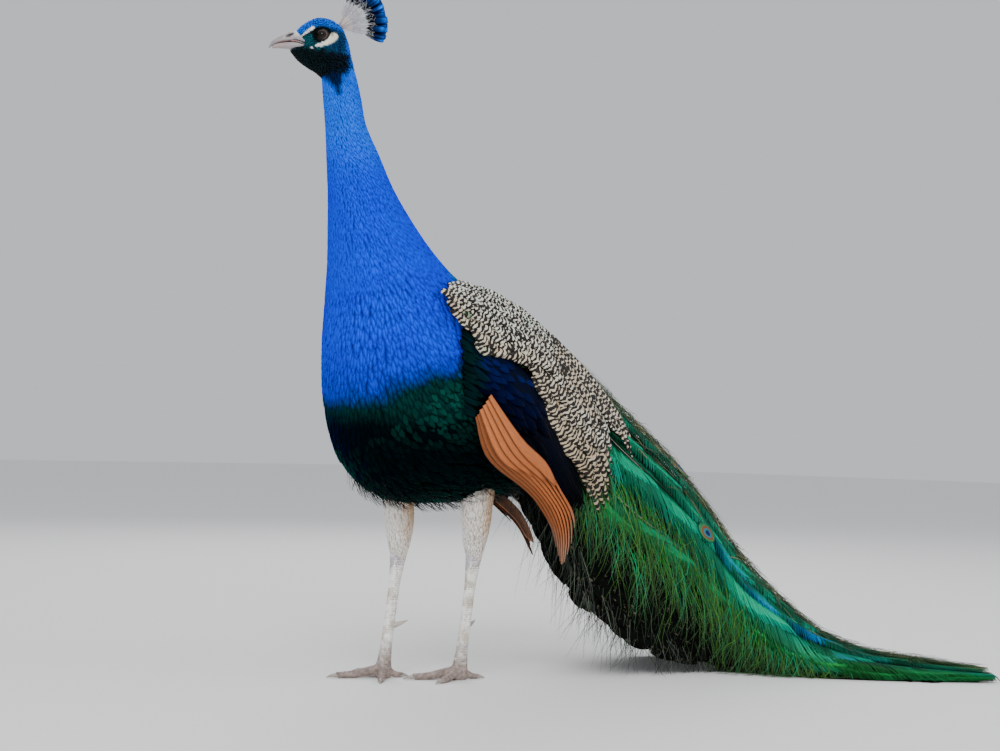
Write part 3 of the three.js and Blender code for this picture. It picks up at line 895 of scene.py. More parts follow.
class Surface:
    """A smooth surface read by two numbers, with u running the way the feathers lie."""

    outward = 1.0

    def point(self, u: Array, v: Array) -> Array:
        """Points in millimetres."""
        raise NotImplementedError

    def slopes(self, u: Array, v: Array) -> tuple[Array, Array]:
        """How a point moves as u and as v grow.

        Args:
            u: Where to read, along the lie.
            v: Where to read, across it.

        Returns:
            Millimetres for each unit of u and of v.
        """
        step = 1e-3
        along = (self.point(u + step, v) - self.point(u - step, v)) / (2 * step)
        across = (self.point(u, v + step) - self.point(u, v - step)) / (2 * step)
        return along, across

    def normal(self, u: Array, v: Array) -> Array:
        """Outward directions."""
        along, across = self.slopes(u, v)
        return unit(np.cross(along, across)) * self.outward


class TrunkSurface(Surface):
    """Neck and trunk as one run of rings from the throat to the rump, outside the coat."""

    outward = -1.0

    def __init__(self) -> None:
        """Keeps the rings: back x and z, front x and z, half width, and share of the head's turn."""
        self.rings = np.array([
            (-115, 795, -159, 788, 21.5, 1), (-106, 762, -155, 756, 22.5, 0.8),
            (-98, 728, -151, 722, 25, 0.5), (-79, 690, -147, 678, 34, 0.2),
            (-58, 648, -143, 632, 43, 0), (-34, 612, -141, 588, 53, 0), (-8, 578, -139, 545, 66, 0),
            (20, 548, -139, 494, 83, 0), (48, 528, -140, 430, 98, 0), (74, 517, -134, 354, 108, 0),
            (98, 505, -110, 284, 111, 0), (122, 491, -54, 240, 110, 0), (150, 473, 34, 234, 107, 0),
            (188, 444, 112, 244, 98, 0), (230, 408, 176, 264, 80, 0), (266, 376, 226, 296, 56, 0),
            (292, 350, 262, 322, 32, 0),
        ], float)

    def point(self, u: Array, v: Array) -> Array:
        """Points of the rings; v is the angle from the back towards the left side.

        Args:
            u: Places along the lie.
            v: Places across it.

        Returns:
            The points.
        """
        back_x, back_z, front_x, front_z, half, turn = np.moveaxis(blend(self.rings, u), -1, 0)
        reach = np.cos(v) / 2
        x = reach * (back_x - front_x)
        y = -np.sin(v) * half
        angle = -turn * HEAD_TURN
        turned_x = x * np.cos(angle) - y * np.sin(angle)
        turned_y = x * np.sin(angle) + y * np.cos(angle)
        z = (back_z + front_z) / 2 + reach * (back_z - front_z)
        return tied((back_x + front_x) / 2 + turned_x, turned_y, z)


class HeadSurface(Surface):
    """The head from the nape to the root of the bill."""

    def __init__(self) -> None:
        """Keeps the rings: top ahead and up, underside ahead and up, and half width."""
        self.rings = np.array([
            (-42.6, -49, 3, -56.4, 21.5), (-38, -32, 9.5, -51, 21), (-32.5, -10, 19, -45.5, 20.5),
            (-24, 8, 27.5, -40, 20.5), (-10, 18.5, 34, -34.5, 19.8), (6, 20.8, 38, -29.5, 17.5),
            (21, 14.5, 41, -26, 14), (31.5, 6.5, 44, -23.4, 9.5), (35.5, 2.5, 46.5, -21.8, 6.5),
        ], float)

    def point(self, u: Array, v: Array) -> Array:
        """Points of the rings; v is the angle from the crown towards the left side.

        Args:
            u: Places along the lie.
            v: Places across it.

        Returns:
            The points.
        """
        top_ahead, top_up, low_ahead, low_up, half = np.moveaxis(blend(self.rings, u), -1, 0)
        reach = np.cos(v) / 2
        ahead = (top_ahead + low_ahead) / 2 + reach * (top_ahead - low_ahead)
        up = (top_up + low_up) / 2 + reach * (top_up - low_up)
        return head_point(ahead, np.sin(v) * half, up)


def head_point(ahead: Array, left: Array, up: Array) -> Array:
    """Turns measures on the head into points."""
    return (EYE_MIDDLE + np.asarray(ahead)[..., None] * FORWARD + np.asarray(left)[..., None] * LEFTWARD +
        np.asarray(up)[..., None] * UPWARD)


class WingSurface(Surface):
    """One layer of a folded wing: u runs to the tips, v from the upper edge to the lower."""

    def __init__(self, side: Side, edges: list[tuple[float, ...]], bulge: float, trail: bool) -> None:
        """Keeps the edges: top x, y, z and low x, y, z at each station of the left wing.

        Args:
            side: Which wing.
            edges: The stations.
            bulge: How far the middle stands out.
            trail: Whether the tips trail back and in, as on the right wing.
        """
        self.edges = np.array(edges, float)
        self.side = side.value
        self.outward = -float(side.value)
        self.bulge = bulge
        self.trail = trail

    def point(self, u: Array, v: Array) -> Array:
        """Points of the layer.

        Args:
            u: Places along the lie.
            v: Places across it.

        Returns:
            The points.
        """
        row = blend(self.edges, u)
        top, low = row[..., :3], row[..., 3:]
        made = top + (low - top) * np.asarray(v)[..., None]
        made[..., 1] -= self.bulge * np.sin(math.pi * np.clip(0.12 + v * 0.88, 0, 1))
        if self.trail:
            made[..., 0] += 62 * u * u
            made[..., 1] += 22 * u
        made[..., 1] *= self.side
        return made


class TrainSurface(Surface):
    """The arched train: u runs to its end, v from the left hem (-1) over the ridge (0) to the right hem."""

    hang = 150.0
    lowest = 1.5

    def __init__(self) -> None:
        """Keeps the arches: ridge, left hem and right hem."""
        self.arches = np.array([
            (196, 0, 444, 158, -66, 300, 170, 64, 320), (250, -6, 419, 178, -84, 196, 214, 76, 228),
            (300, -20, 372, 212, -100, 108, 266, 84, 146), (346, -36, 328, 262, -112, 58, 326, 84, 78),
            (386, -54, 283, 322, -118, 32, 388, 70, 34), (424, -78, 226, 384, -122, 16, 444, 40, 10),
            (462, -108, 160, 430, -134, 5, 492, -4, 2), (500, -146, 102, 464, -176, 0.4, 532, -62, 0.4),
            (538, -184, 56, 502, -222, 0, 572, -134, 0), (586, -224, 28, 556, -268, 0, 612, -198, 0),
            (642, -284, 17, 618, -310, 0, 654, -262, 0), (704, -350, 9, 698, -358, 0, 710, -342, 0),
        ], float)

    def point(self, u: Array, v: Array) -> Array:
        """Points of the arch, and of what hangs below its hems.

        Args:
            u: Places along the lie.
            v: Places across it.

        Returns:
            The points.
        """
        row = blend(self.arches, u)
        v = np.asarray(v, float)
        ridge, hem = row[..., :3], np.where((v < 0)[..., None], row[..., 3:6], row[..., 6:])
        reach = np.minimum(np.abs(v), 1)
        out, up = np.sin(reach * math.pi / 2), np.cos(reach * math.pi / 2)
        flat = hem[..., :2] + (ridge[..., :2] - hem[..., :2]) * (1 - out)[..., None]
        z = hem[..., 2] + (ridge[..., 2] - hem[..., 2]) * up - (np.abs(v) - reach) * self.hang
        return np.concatenate([flat, np.maximum(z, self.lowest)[..., None]], axis=-1)


class TailSurface(Surface):
    """The stiff tail fan under the train: u runs to the tips, v from the left edge to the right."""

    def __init__(self) -> None:
        """Keeps the edges: left x, y, z and right x, y, z."""
        self.edges = np.array([
            (266, -30, 322, 268, 28, 326), (316, -66, 236, 332, 36, 250), (366, -90, 150, 392, 34, 164),
            (408, -108, 84, 440, 12, 92), (436, -122, 42, 470, -20, 44),
        ], float)

    def point(self, u: Array, v: Array) -> Array:
        """Points of the fan.

        Args:
            u: Places along the lie.
            v: Places across it.

        Returns:
            The points.
        """
        row = blend(self.edges, u)
        made = row[..., :3] + (row[..., 3:] - row[..., :3]) * np.asarray(v)[..., None]
        made[..., 2] += 22 * u * np.sin(math.pi * v)
        made[..., 0] += 8 * u * u * np.sin(math.pi * v)
        return made


@dataclass(frozen=True)
class Lie:
    """How feathers lie on a surface: depth of the roots, height of the tips, and any arch between."""

    sunk: float
    proud: float
    arch: float = 0.0
    stops: int = 4


def laid(surface: Surface, u: Array, v: Array, length: Array, turn: Array, lie: Lie,
         flow: float = 1.0, raise_by: Array | float = 0.0) -> Frames:
    """Lays feathers on a surface so that each follows its curve.

    Args:
        surface: What they lie on.
        u: Root places along the lie.
        v: Root places across it.
        length: Length of each feather.
        turn: Angle of each feather from the lie.
        lie: Depth and height over the surface.
        flow: 1 where feathers point the way u grows, -1 where they point back.
        raise_by: Extra height of each feather.

    Returns:
        Middle lines, side directions and up directions, for each stop of each feather.
    """
    along, across = surface.slopes(u, v)
    step_u = flow * length * np.cos(turn) / np.maximum(np.linalg.norm(along, axis=-1), 40)
    step_v = length * np.sin(turn) / np.maximum(np.linalg.norm(across, axis=-1), 8)
    t = steps(lie.stops)
    at_u, at_v = u[:, None] + step_u[:, None] * t, v[:, None] + step_v[:, None] * t
    normals = surface.normal(at_u, at_v)
    height = -lie.sunk + (lie.proud + lie.sunk) * t + lie.arch * np.sin(math.pi * t)
    height = height[None] + np.broadcast_to(raise_by, len(u))[:, None] * (0.3 + 0.7 * t)
    spine = surface.point(at_u, at_v) + normals * height[..., None]
    return framed(spine, normals)


def framed(spine: Array, normals: Array) -> Frames:
    """Adds side and up directions to middle lines.

    Args:
        spine: Middle lines.
        normals: Rough up directions.

    Returns:
        The middle lines, and the directions square to them.
    """
    ahead = unit(np.gradient(spine, axis=1))
    side = unit(np.cross(ahead, normals))
    return spine, side, np.cross(side, ahead)


def rows_on(surface: Surface, u_range: Span, v_range: Span, gaps: Array,
            rng: Random, jitter: float = 0.3) -> tuple[Array, Array]:
    """Sets out staggered rows of roots.

    Args:
        surface: What they grow from.
        u_range: First and last row.
        v_range: Ends of each row.
        gaps: Spacing along and across at the first row and at the last: ((along, across), (along, across)).
        rng: Source of the jitter.
        jitter: Share of the spacing by which roots stray.

    Returns:
        The roots' u and v.
    """
    ring = np.linspace(*v_range, 120)
    all_u, all_v = [], []
    u, odd = u_range[0], 0.0
    while u < u_range[1]:
        share = (u - u_range[0]) / (u_range[1] - u_range[0])
        gap_along, gap_across = np.asarray(gaps[0]) + (np.asarray(gaps[1]) - np.asarray(gaps[0])) * share
        points = surface.point(np.full_like(ring, u), ring)
        run = np.concatenate([[0], np.cumsum(np.linalg.norm(np.diff(points, axis=0), axis=1))])
        count = max(2, int(run[-1] / gap_across))
        at = (np.arange(count) + odd + rng.uniform(-jitter, jitter, count)) / count * run[-1]
        speed = np.mean(np.linalg.norm(surface.slopes(np.full_like(ring, u), ring)[0], axis=1))
        all_v.append(np.interp(at % run[-1], run, ring))
        all_u.append(u + rng.uniform(-jitter, jitter, count) * gap_along / speed)
        u += gap_along / speed
        odd = 0.5 - odd
    return np.concatenate(all_u), np.concatenate(all_v)


def under_sheet(name: str, surface: Surface, u_range: Span, v_range: Span,
                colour: Colour, finish: Finish, slot: Slot, *nodes: str, height: float = -3.6,
                grid: tuple[int, int] = (44, 28)) -> None:
    """A thin closed sheet of down under a layer of feathers.

    Args:
        name: The piece's name.
        surface: The layer's surface.
        u_range: From where to where it runs.
        v_range: Its two edges.
        colour: Its colour.
        finish: Its finish.
        slot: The record's material slot.
        nodes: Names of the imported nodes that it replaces.
        height: Its place over the surface, below zero when under it.
        grid: Steps along and across.
    """
    u, v = np.meshgrid(np.linspace(*u_range, grid[0]), np.linspace(*v_range, grid[1]), indexing="ij")
    normals = surface.normal(u, v)
    ripple = (lumps(surface.point(u, v), 14, 5) - 0.5) * SHEET_RIPPLE
    top = surface.point(u, v) + normals * (height + ripple)[..., None]
    low = top - normals * SHEET_THICK
    both = np.stack([top, low])
    both[..., 2] = np.maximum(both[..., 2], REST_LOWEST)
    index = np.arange(top[..., 0].size).reshape(grid)
    quad = tied(index[:-1, :-1], index[1:, :-1], index[1:, 1:], index[:-1, 1:]).reshape(-1, 4)
    rim = np.concatenate([index[:, 0], index[-1, 1:], index[-2::-1, -1], index[0, -2:0:-1]])
    after = np.roll(rim, -1)
    size = index.size
    wall = tied(rim, rim + size, after + size, after)
    if surface.outward < 0:
        quad, wall = quad[:, ::-1], wall[:, ::-1]
    place = tied((u - u_range[0]) / (u_range[1] - u_range[0]), (v - v_range[0]) / (v_range[1] - v_range[0]))
    maps = np.concatenate([place.reshape(-1, 2)] * 2)
    make_piece(name, MeshParts(
        points=both.reshape(-1, 3), faces=[quad, quad[:, ::-1] + size, wall],
        maps={"OFBake": maps, "Vane": maps, "Lie": maps * 20},
        colours=np.tile(colour, (size * 2, 1)), seeds=np.full(size * 2, 0.5)), finish, slot, *nodes)


class Maker:
    """Makes pieces with its own source of random numbers."""

    rng: Random

    def vary(self, like: Array, low: float, high: float) -> Array:
        """A random number from low to high for each row of an array."""
        return self.rng.uniform(low, high, len(like))


# ---------------------------------------------------------------- markings


@dataclass(frozen=True)
class Markings:
    """The colours of skin and coat by place, shared by both."""

    bright_blue: Colour = (0.0, 0.175, 1.0)
    blue: Colour = (0.0, 0.042, 0.96)
    deep_blue: Colour = (0.0, 0.045, 0.58)
    night_blue: Colour = (0.001, 0.035, 0.14)
    teal: Colour = (0.007, 0.085, 0.115)
    black_green: Colour = (0.001, 0.004, 0.005)
    belly_green: Colour = (0.001, 0.040, 0.034)
    white: Colour = (0.80, 0.80, 0.76)
    cream: Colour = (0.66, 0.63, 0.50)
    crown: Colour = (0.003, 0.13, 0.62)
    thigh: Colour = (0.96, 0.92, 0.86)
    buff: Colour = (0.66, 0.45, 0.29)
    leg: Colour = (0.96, 0.94, 0.90)
    foot: Colour = (0.31, 0.245, 0.22)
    hock: Colour = (0.56, 0.51, 0.58)

    def edge_of_blue(self, points: Array) -> Array:
        """Height of the line where the blue breast turns green.

        Args:
            points: Places in millimetres.

        Returns:
            A height for each place.
        """
        x = points[..., 0]
        level = 366 + 28 * smooth(-120, -75, x) + 12 * smooth(-70, -24, x) + 0.9 * np.maximum(x + 24, 0)
        level = level + 1.8 * np.maximum(x - 12, 0)
        return level + 4 * np.sin(x / 11) + 16 * (lumps(points, 14, 3) - 0.5)

    def body(self, points: Array) -> Array:
        """Colours of the neck and trunk.

        Args:
            points: Places in millimetres.

        Returns:
            A linear colour for each place.
        """
        x, z = points[..., 0], points[..., 2]
        mottle = lumps(points, 7, 1)
        wide = lumps(points, 26, 2)
        # Brighter blue high on the neck and deeper blue low on the breast: partly the plumage's own colour,
        # partly a painted highlight above and painted shade below.
        blue = mixed(self.bright_blue, self.blue, smooth(725, 640, z) * 0.8 + 0.2 * wide)
        blue = mixed(blue, self.deep_blue, smooth(450, 375, z) * 0.75)
        blue = mixed(blue, self.black_green, self.throat(points, mottle) * 0.95)
        # Darker towards the bottom of the belly: partly the belly's own blackish colour, partly painted shade
        # under the body.
        green = mixed(self.belly_green, self.black_green, np.clip(smooth(365, 320, z) + 0.3 * wide, 0, 1))
        tint = mixed(blue, green, smooth(16, -16, z - self.edge_of_blue(points)))
        back = smooth(-4, 30, x) * smooth(0, 1, (z - 440) / 45)
        return mixed(tint, (0.012, 0.24, 0.11), np.clip(back, 0, 1))

    def head(self, points: Array) -> Array:
        """Colours of the head.

        Args:
            points: Places in millimetres.

        Returns:
            A linear colour for each place.
        """
        ahead, up = self.on_head(points)
        mottle = lumps(points, 4, 6)
        tint = mixed(self.crown, self.bright_blue, mottle * 0.7)
        below_crown = smooth(3, -4, up - self.crown_line(ahead))
        cheek = mixed(self.teal, self.night_blue, smooth(2, -16, ahead) * (0.55 + 0.45 * mottle))
        tint = mixed(tint, cheek, below_crown * smooth(-36, -30, ahead - 0.12 * (up + 30)))
        tint = mixed(tint, self.black_green, self.throat(points, mottle) * (0.88 + 0.12 * mottle))
        tint = mixed(tint, self.black_green, self.stripe(ahead, up))
        return mixed(tint, mixed(self.white, self.cream, smooth(4, -14, ahead)), self.bare(points))

    def on_head(self, points: Array) -> tuple[Array, Array]:
        """Measures ahead of and above the point between the eyes."""
        away = points - EYE_MIDDLE
        return away @ FORWARD, away[..., 2]

    def crown_line(self, ahead: Array) -> Array:
        """Height where the crown's blue ends, falling from over the eye to the bill."""
        return 6 - 13 * smooth(8, 34, ahead) - 4 * smooth(-12, -26, ahead)

    def throat(self, points: Array, mottle: Array) -> Array:
        """How black the throat is at a place: from under the cheek to a ragged tongue down the neck's side.

        Args:
            points: Places in millimetres.
            mottle: Noise that ruffles the edge.

        Returns:
            A share for each place.
        """
        ahead, up = self.on_head(points)
        top = -24 + 3 * smooth(10, 30, ahead) - 6 * smooth(0, -30, ahead) - up
        rear = ahead - np.interp(up, [-86, -73, -60, -48, -32], [-28, -30, -33, -37, -35.5])
        low = up - (-59 + 1.0 * np.clip(ahead, -30, 0))
        return smooth(-4, 4, np.minimum(top, np.minimum(rear, low)) + 9 * (mottle - 0.5))

    def stripe(self, ahead: Array, up: Array) -> Array:
        """How black the stripe from the bill past the eye is at a place.

        Args:
            ahead: Distance ahead of the middle of the head.
            up: Height over it.

        Returns:
            A share for each place.
        """
        eye = np.hypot((ahead + 1) / 1.12, up + EYE_DROP)
        round_eye = smooth(13.0, 10.4, eye)
        to_bill = smooth(3.2, 1.6, np.abs(up - (1.5 - 0.46 * (ahead - 6)))) * smooth(4, 10, ahead)
        return np.clip(round_eye + to_bill * smooth(38, 30, ahead), 0, 1)

    def bare(self, points: Array) -> Array:
        """How bare and white the face is at a place: a streak over the eye, a crescent under it, a dot.

        Args:
            points: Places in millimetres.

        Returns:
            A share for each place.
        """
        ahead, up = self.on_head(points)
        streak = (27.5, -8.6), (12.2, 3.6), 0.8, 2.4
        crescent = [((7.4, -20.4), (0.0, -19.3), 1.1, 2.2), ((0.0, -19.3), (-7.5, -16.6), 2.2, 3.1),
                    ((-7.5, -16.6), (-13.2, -11.8), 3.1, 4.6), ((-13.2, -11.8), (-16.2, -7.0), 4.6, 5.4)]
        dot = (13.4, -23.4), (11.0, -24.0), 0.7, 0.9
        strength = np.zeros_like(ahead)
        for start, end, wide_start, wide_end in (streak, *crescent, dot):
            run = np.array(end) - np.array(start)
            t = ((ahead - start[0]) * run[0] + (up - start[1]) * run[1]) / (run @ run)
            t = np.clip(t, 0, 1)
            off = np.hypot(ahead - start[0] - t * run[0], up - start[1] - t * run[1])
            wide = wide_start + (wide_end - wide_start) * t
            strength = np.maximum(strength, smooth(0.5, -0.5, off - wide))
        return strength

    def shank(self, points: Array) -> Array:
        """Colours of the bare leg: pinkish-brown toes, a mottled pale shank and a mauve-grey hock.

        Args:
            points: Places in millimetres.

        Returns:
            A linear colour for each place.
        """
        z = points[..., 2]
        pale = mixed(self.leg, (0.66, 0.60, 0.50), smooth(0.45, 0.8, lumps(points, 9, 12)))
        tint = mixed(self.foot, pale, smooth(14, 62, z + 16 * (lumps(points, 11, 13) - 0.5)))
        grain = 1 + (0.9 * lumps(points, 2.4, 19) - 0.45) * smooth(110, 20, z)
        return mixed(tint, self.hock, smooth(146, 160, z) * smooth(182, 170, z) * 0.8) * grain[..., None]

    def flesh(self, points: Array) -> Array:
        """Colours of the whole skin.

        Args:
            points: Places in millimetres.

        Returns:
            A linear colour for each place.
        """
        x, z = points[..., 0], points[..., 2]
        tint = mixed(self.body(points), self.head(points), smooth(790, 802, z - 0.35 * (x + 130)))
        limb = (z < 190) | ((z < 262) & (np.abs(x - 28) < 75))
        leg = mixed(self.shank(points), self.thigh, smooth(164, 178, z))
        tint = np.where(limb[..., None], mixed(leg, self.black_green, smooth(246, 262, z)), tint)
        return tint


# ---------------------------------------------------------------- skin


@dataclass
class Skin:
    """One seamless skin over head, neck, trunk and legs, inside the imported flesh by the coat's depth."""

    markings: Markings
    voxel: float = 2.2
    coat_depth: float = 3.0
    face_depth: float = 1.0
    nodes: list[str] = field(default_factory=lambda: ["head", "neck_upper", "neck_lower", "breast", "belly",
        "rump", "thigh_left", "thigh_right", "tarsus_left", "tarsus_right", "foot_left", "foot_right"])

    def build(self) -> None:
        """Joins copies of the flesh, closes their seams, smooths, shrinks and colours the result."""
        raw = self.merged()
        count = len(raw.vertices)
        points = np.empty(count * 3, np.float32)
        raw.vertices.foreach_get("co", points)
        points = points.reshape(-1, 3).astype(float) / MM + CENTRE
        faces = np.empty(len(raw.loops), np.int32)
        raw.loops.foreach_get("vertex_index", faces)
        faces = faces.reshape(-1, 4)
        points = self.smoothed(points, faces, 3)
        upper = smooth(150, 190, points[:, 2])
        points += (self.smoothed(points, faces, 9) - points) * upper[:, None]
        normals = self.normals(points, faces)
        points -= normals * self.depth(points)[:, None]
        points += normals * self.folds(points)[:, None]
        keep = self.main_body(faces, count)
        used = np.unique(faces[keep[faces[:, 0]]])
        renumber = np.zeros(count, np.int64)
        renumber[used] = np.arange(len(used))
        points, faces = points[used], renumber[faces[keep[faces[:, 0]]]]
        points[:, 2] = np.maximum(points[:, 2], 0.05)
        maps = self.unwrap(points)
        make_piece("skin", MeshParts(
            points=points, faces=[faces], maps={"OFBake": maps, "Vane": maps, "Lie": maps},
            colours=self.markings.flesh(points), seeds=np.full(len(points), 0.5)),
            Hide("pebbled_skin", metal=0.25), Slot.NECK, *self.nodes)
        bpy.data.meshes.remove(raw)

    def merged(self) -> bpy.types.Mesh:
        """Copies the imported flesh, swells it over its joints' gaps and remeshes it into one surface.

        Returns:
            The closed surface, in metres.
        """
        copies = [linked(f"copy_{name}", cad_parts[name].data.copy()) for name in self.nodes]
        with bpy.context.temp_override(active_object=copies[0], selected_editable_objects=copies):
            bpy.ops.object.join()
        whole = copies[0]
        swell = whole.modifiers.new("swell", "DISPLACE")
        swell.strength = 0.5 * MM
        swell.mid_level = 0.0
        remesh = whole.modifiers.new("close", "REMESH")
        remesh.mode = "VOXEL"
        remesh.voxel_size = self.voxel * MM
        shown = whole.evaluated_get(bpy.context.evaluated_depsgraph_get())
        result = bpy.data.meshes.new_from_object(shown)
        old = whole.data
        bpy.data.objects.remove(whole)
        bpy.data.meshes.remove(old)
        return result

    @staticmethod
    def smoothed(points: Array, faces: Array, times: int) -> Array:
        """Relaxes points towards their neighbours, then back a little so that the body keeps its size.

        Args:
            points: The points.
            faces: Four-sided faces between them.
            times: How often.

        Returns:
            The moved points.
        """
        edges = np.concatenate([faces[:, [i, (i + 1) % 4]] for i in range(4)])
        count = len(points)
        near = np.maximum(np.bincount(edges[:, 0], minlength=count), 1)[:, None]
        now = points.copy()
        for turn in range(times * 2):
            total = tied(*(np.bincount(edges[:, 0], now[edges[:, 1], axis], count) for axis in range(3)))
            now = now + (total / near - now) * (0.6 if turn % 2 == 0 else -0.52)
        return now

    @staticmethod
    def normals(points: Array, faces: Array) -> Array:
        """Outward directions at the points.

        Args:
            points: The points.
            faces: Four-sided faces between them.

        Returns:
            A direction for each point.
        """
        a, b, c, d = (points[faces[:, i]] for i in range(4))
        facing = np.cross(c - a, d - b)
        sums = (np.bincount(faces.ravel(), np.repeat(facing[:, axis], 4), len(points)) for axis in range(3))
        return unit(tied(*sums))

    @staticmethod
    def main_body(faces: Array, count: int) -> Array:
        """Marks the points of the largest connected surface.

        Args:
            faces: The faces.
            count: How many points there are.

        Returns:
            Whether each point belongs to it.
        """
        mark = np.arange(count)
        while True:
            lowest = mark[faces].min(axis=1)
            fresh = mark.copy()
            np.minimum.at(fresh, faces.ravel(), np.repeat(lowest, 4))
            fresh = fresh[fresh]
            if np.array_equal(fresh, mark):
                break
            mark = fresh
        return mark == np.bincount(mark).argmax()

    @staticmethod
    def face(ahead: Array, up: Array) -> Array:
        """How far a place on the head belongs to the face."""
        return smooth(-42, -20, ahead) * smooth(-48, -30, up)

    def depth(self, points: Array) -> Array:
        """Depth of the coat at each place: thick on the trunk, thin on the face, none on the bare legs.

        Args:
            points: Places in millimetres.

        Returns:
            Millimetres for each place.
        """
        ahead, up = self.markings.on_head(points)
        face = self.face(ahead, up)
        deep = self.coat_depth + (self.face_depth - self.coat_depth) * face
        bare = self.markings.bare(points) * face
        deep = deep * (1 - 0.75 * bare)
        return deep * smooth(160, 176, points[:, 2])

    def folds(self, points: Array) -> Array:
        """Fine folds round the eyes and grains on the bare patches.

        Args:
            points: Places in millimetres.

        Returns:
            Height in millimetres for each place.
        """
        ahead, up = self.markings.on_head(points)
        face = self.face(ahead, up)
        away = np.hypot(ahead, up + EYE_DROP)
        ripple = np.sin(away * 3.1) * smooth(16, 9, away) * 0.25
        grains = (lumps(points, 1.7, 9) - 0.4) * 0.55 * self.markings.bare(points)
        return (ripple + grains) * face

    @staticmethod
    def unwrap(points: Array) -> Array:
        """A map of the body's own shape: height down the side and angle about its upright middle line.

        Args:
            points: Places in millimetres.

        Returns:
            A place on the map for each.
        """
        z = points[:, 2]
        heights = [0, 170, 260, 350, 480, 600, 720, 800, 870]
        middle_x = np.interp(z, heights, [20, 20, 60, 60, 10, -85, -125, -150, -165])
        angle = np.arctan2(points[:, 1], points[:, 0] - middle_x)
        return tied(angle / TURN + 0.5, np.clip(z / 880, 0, 1))


# ---------------------------------------------------------------- coat of the body


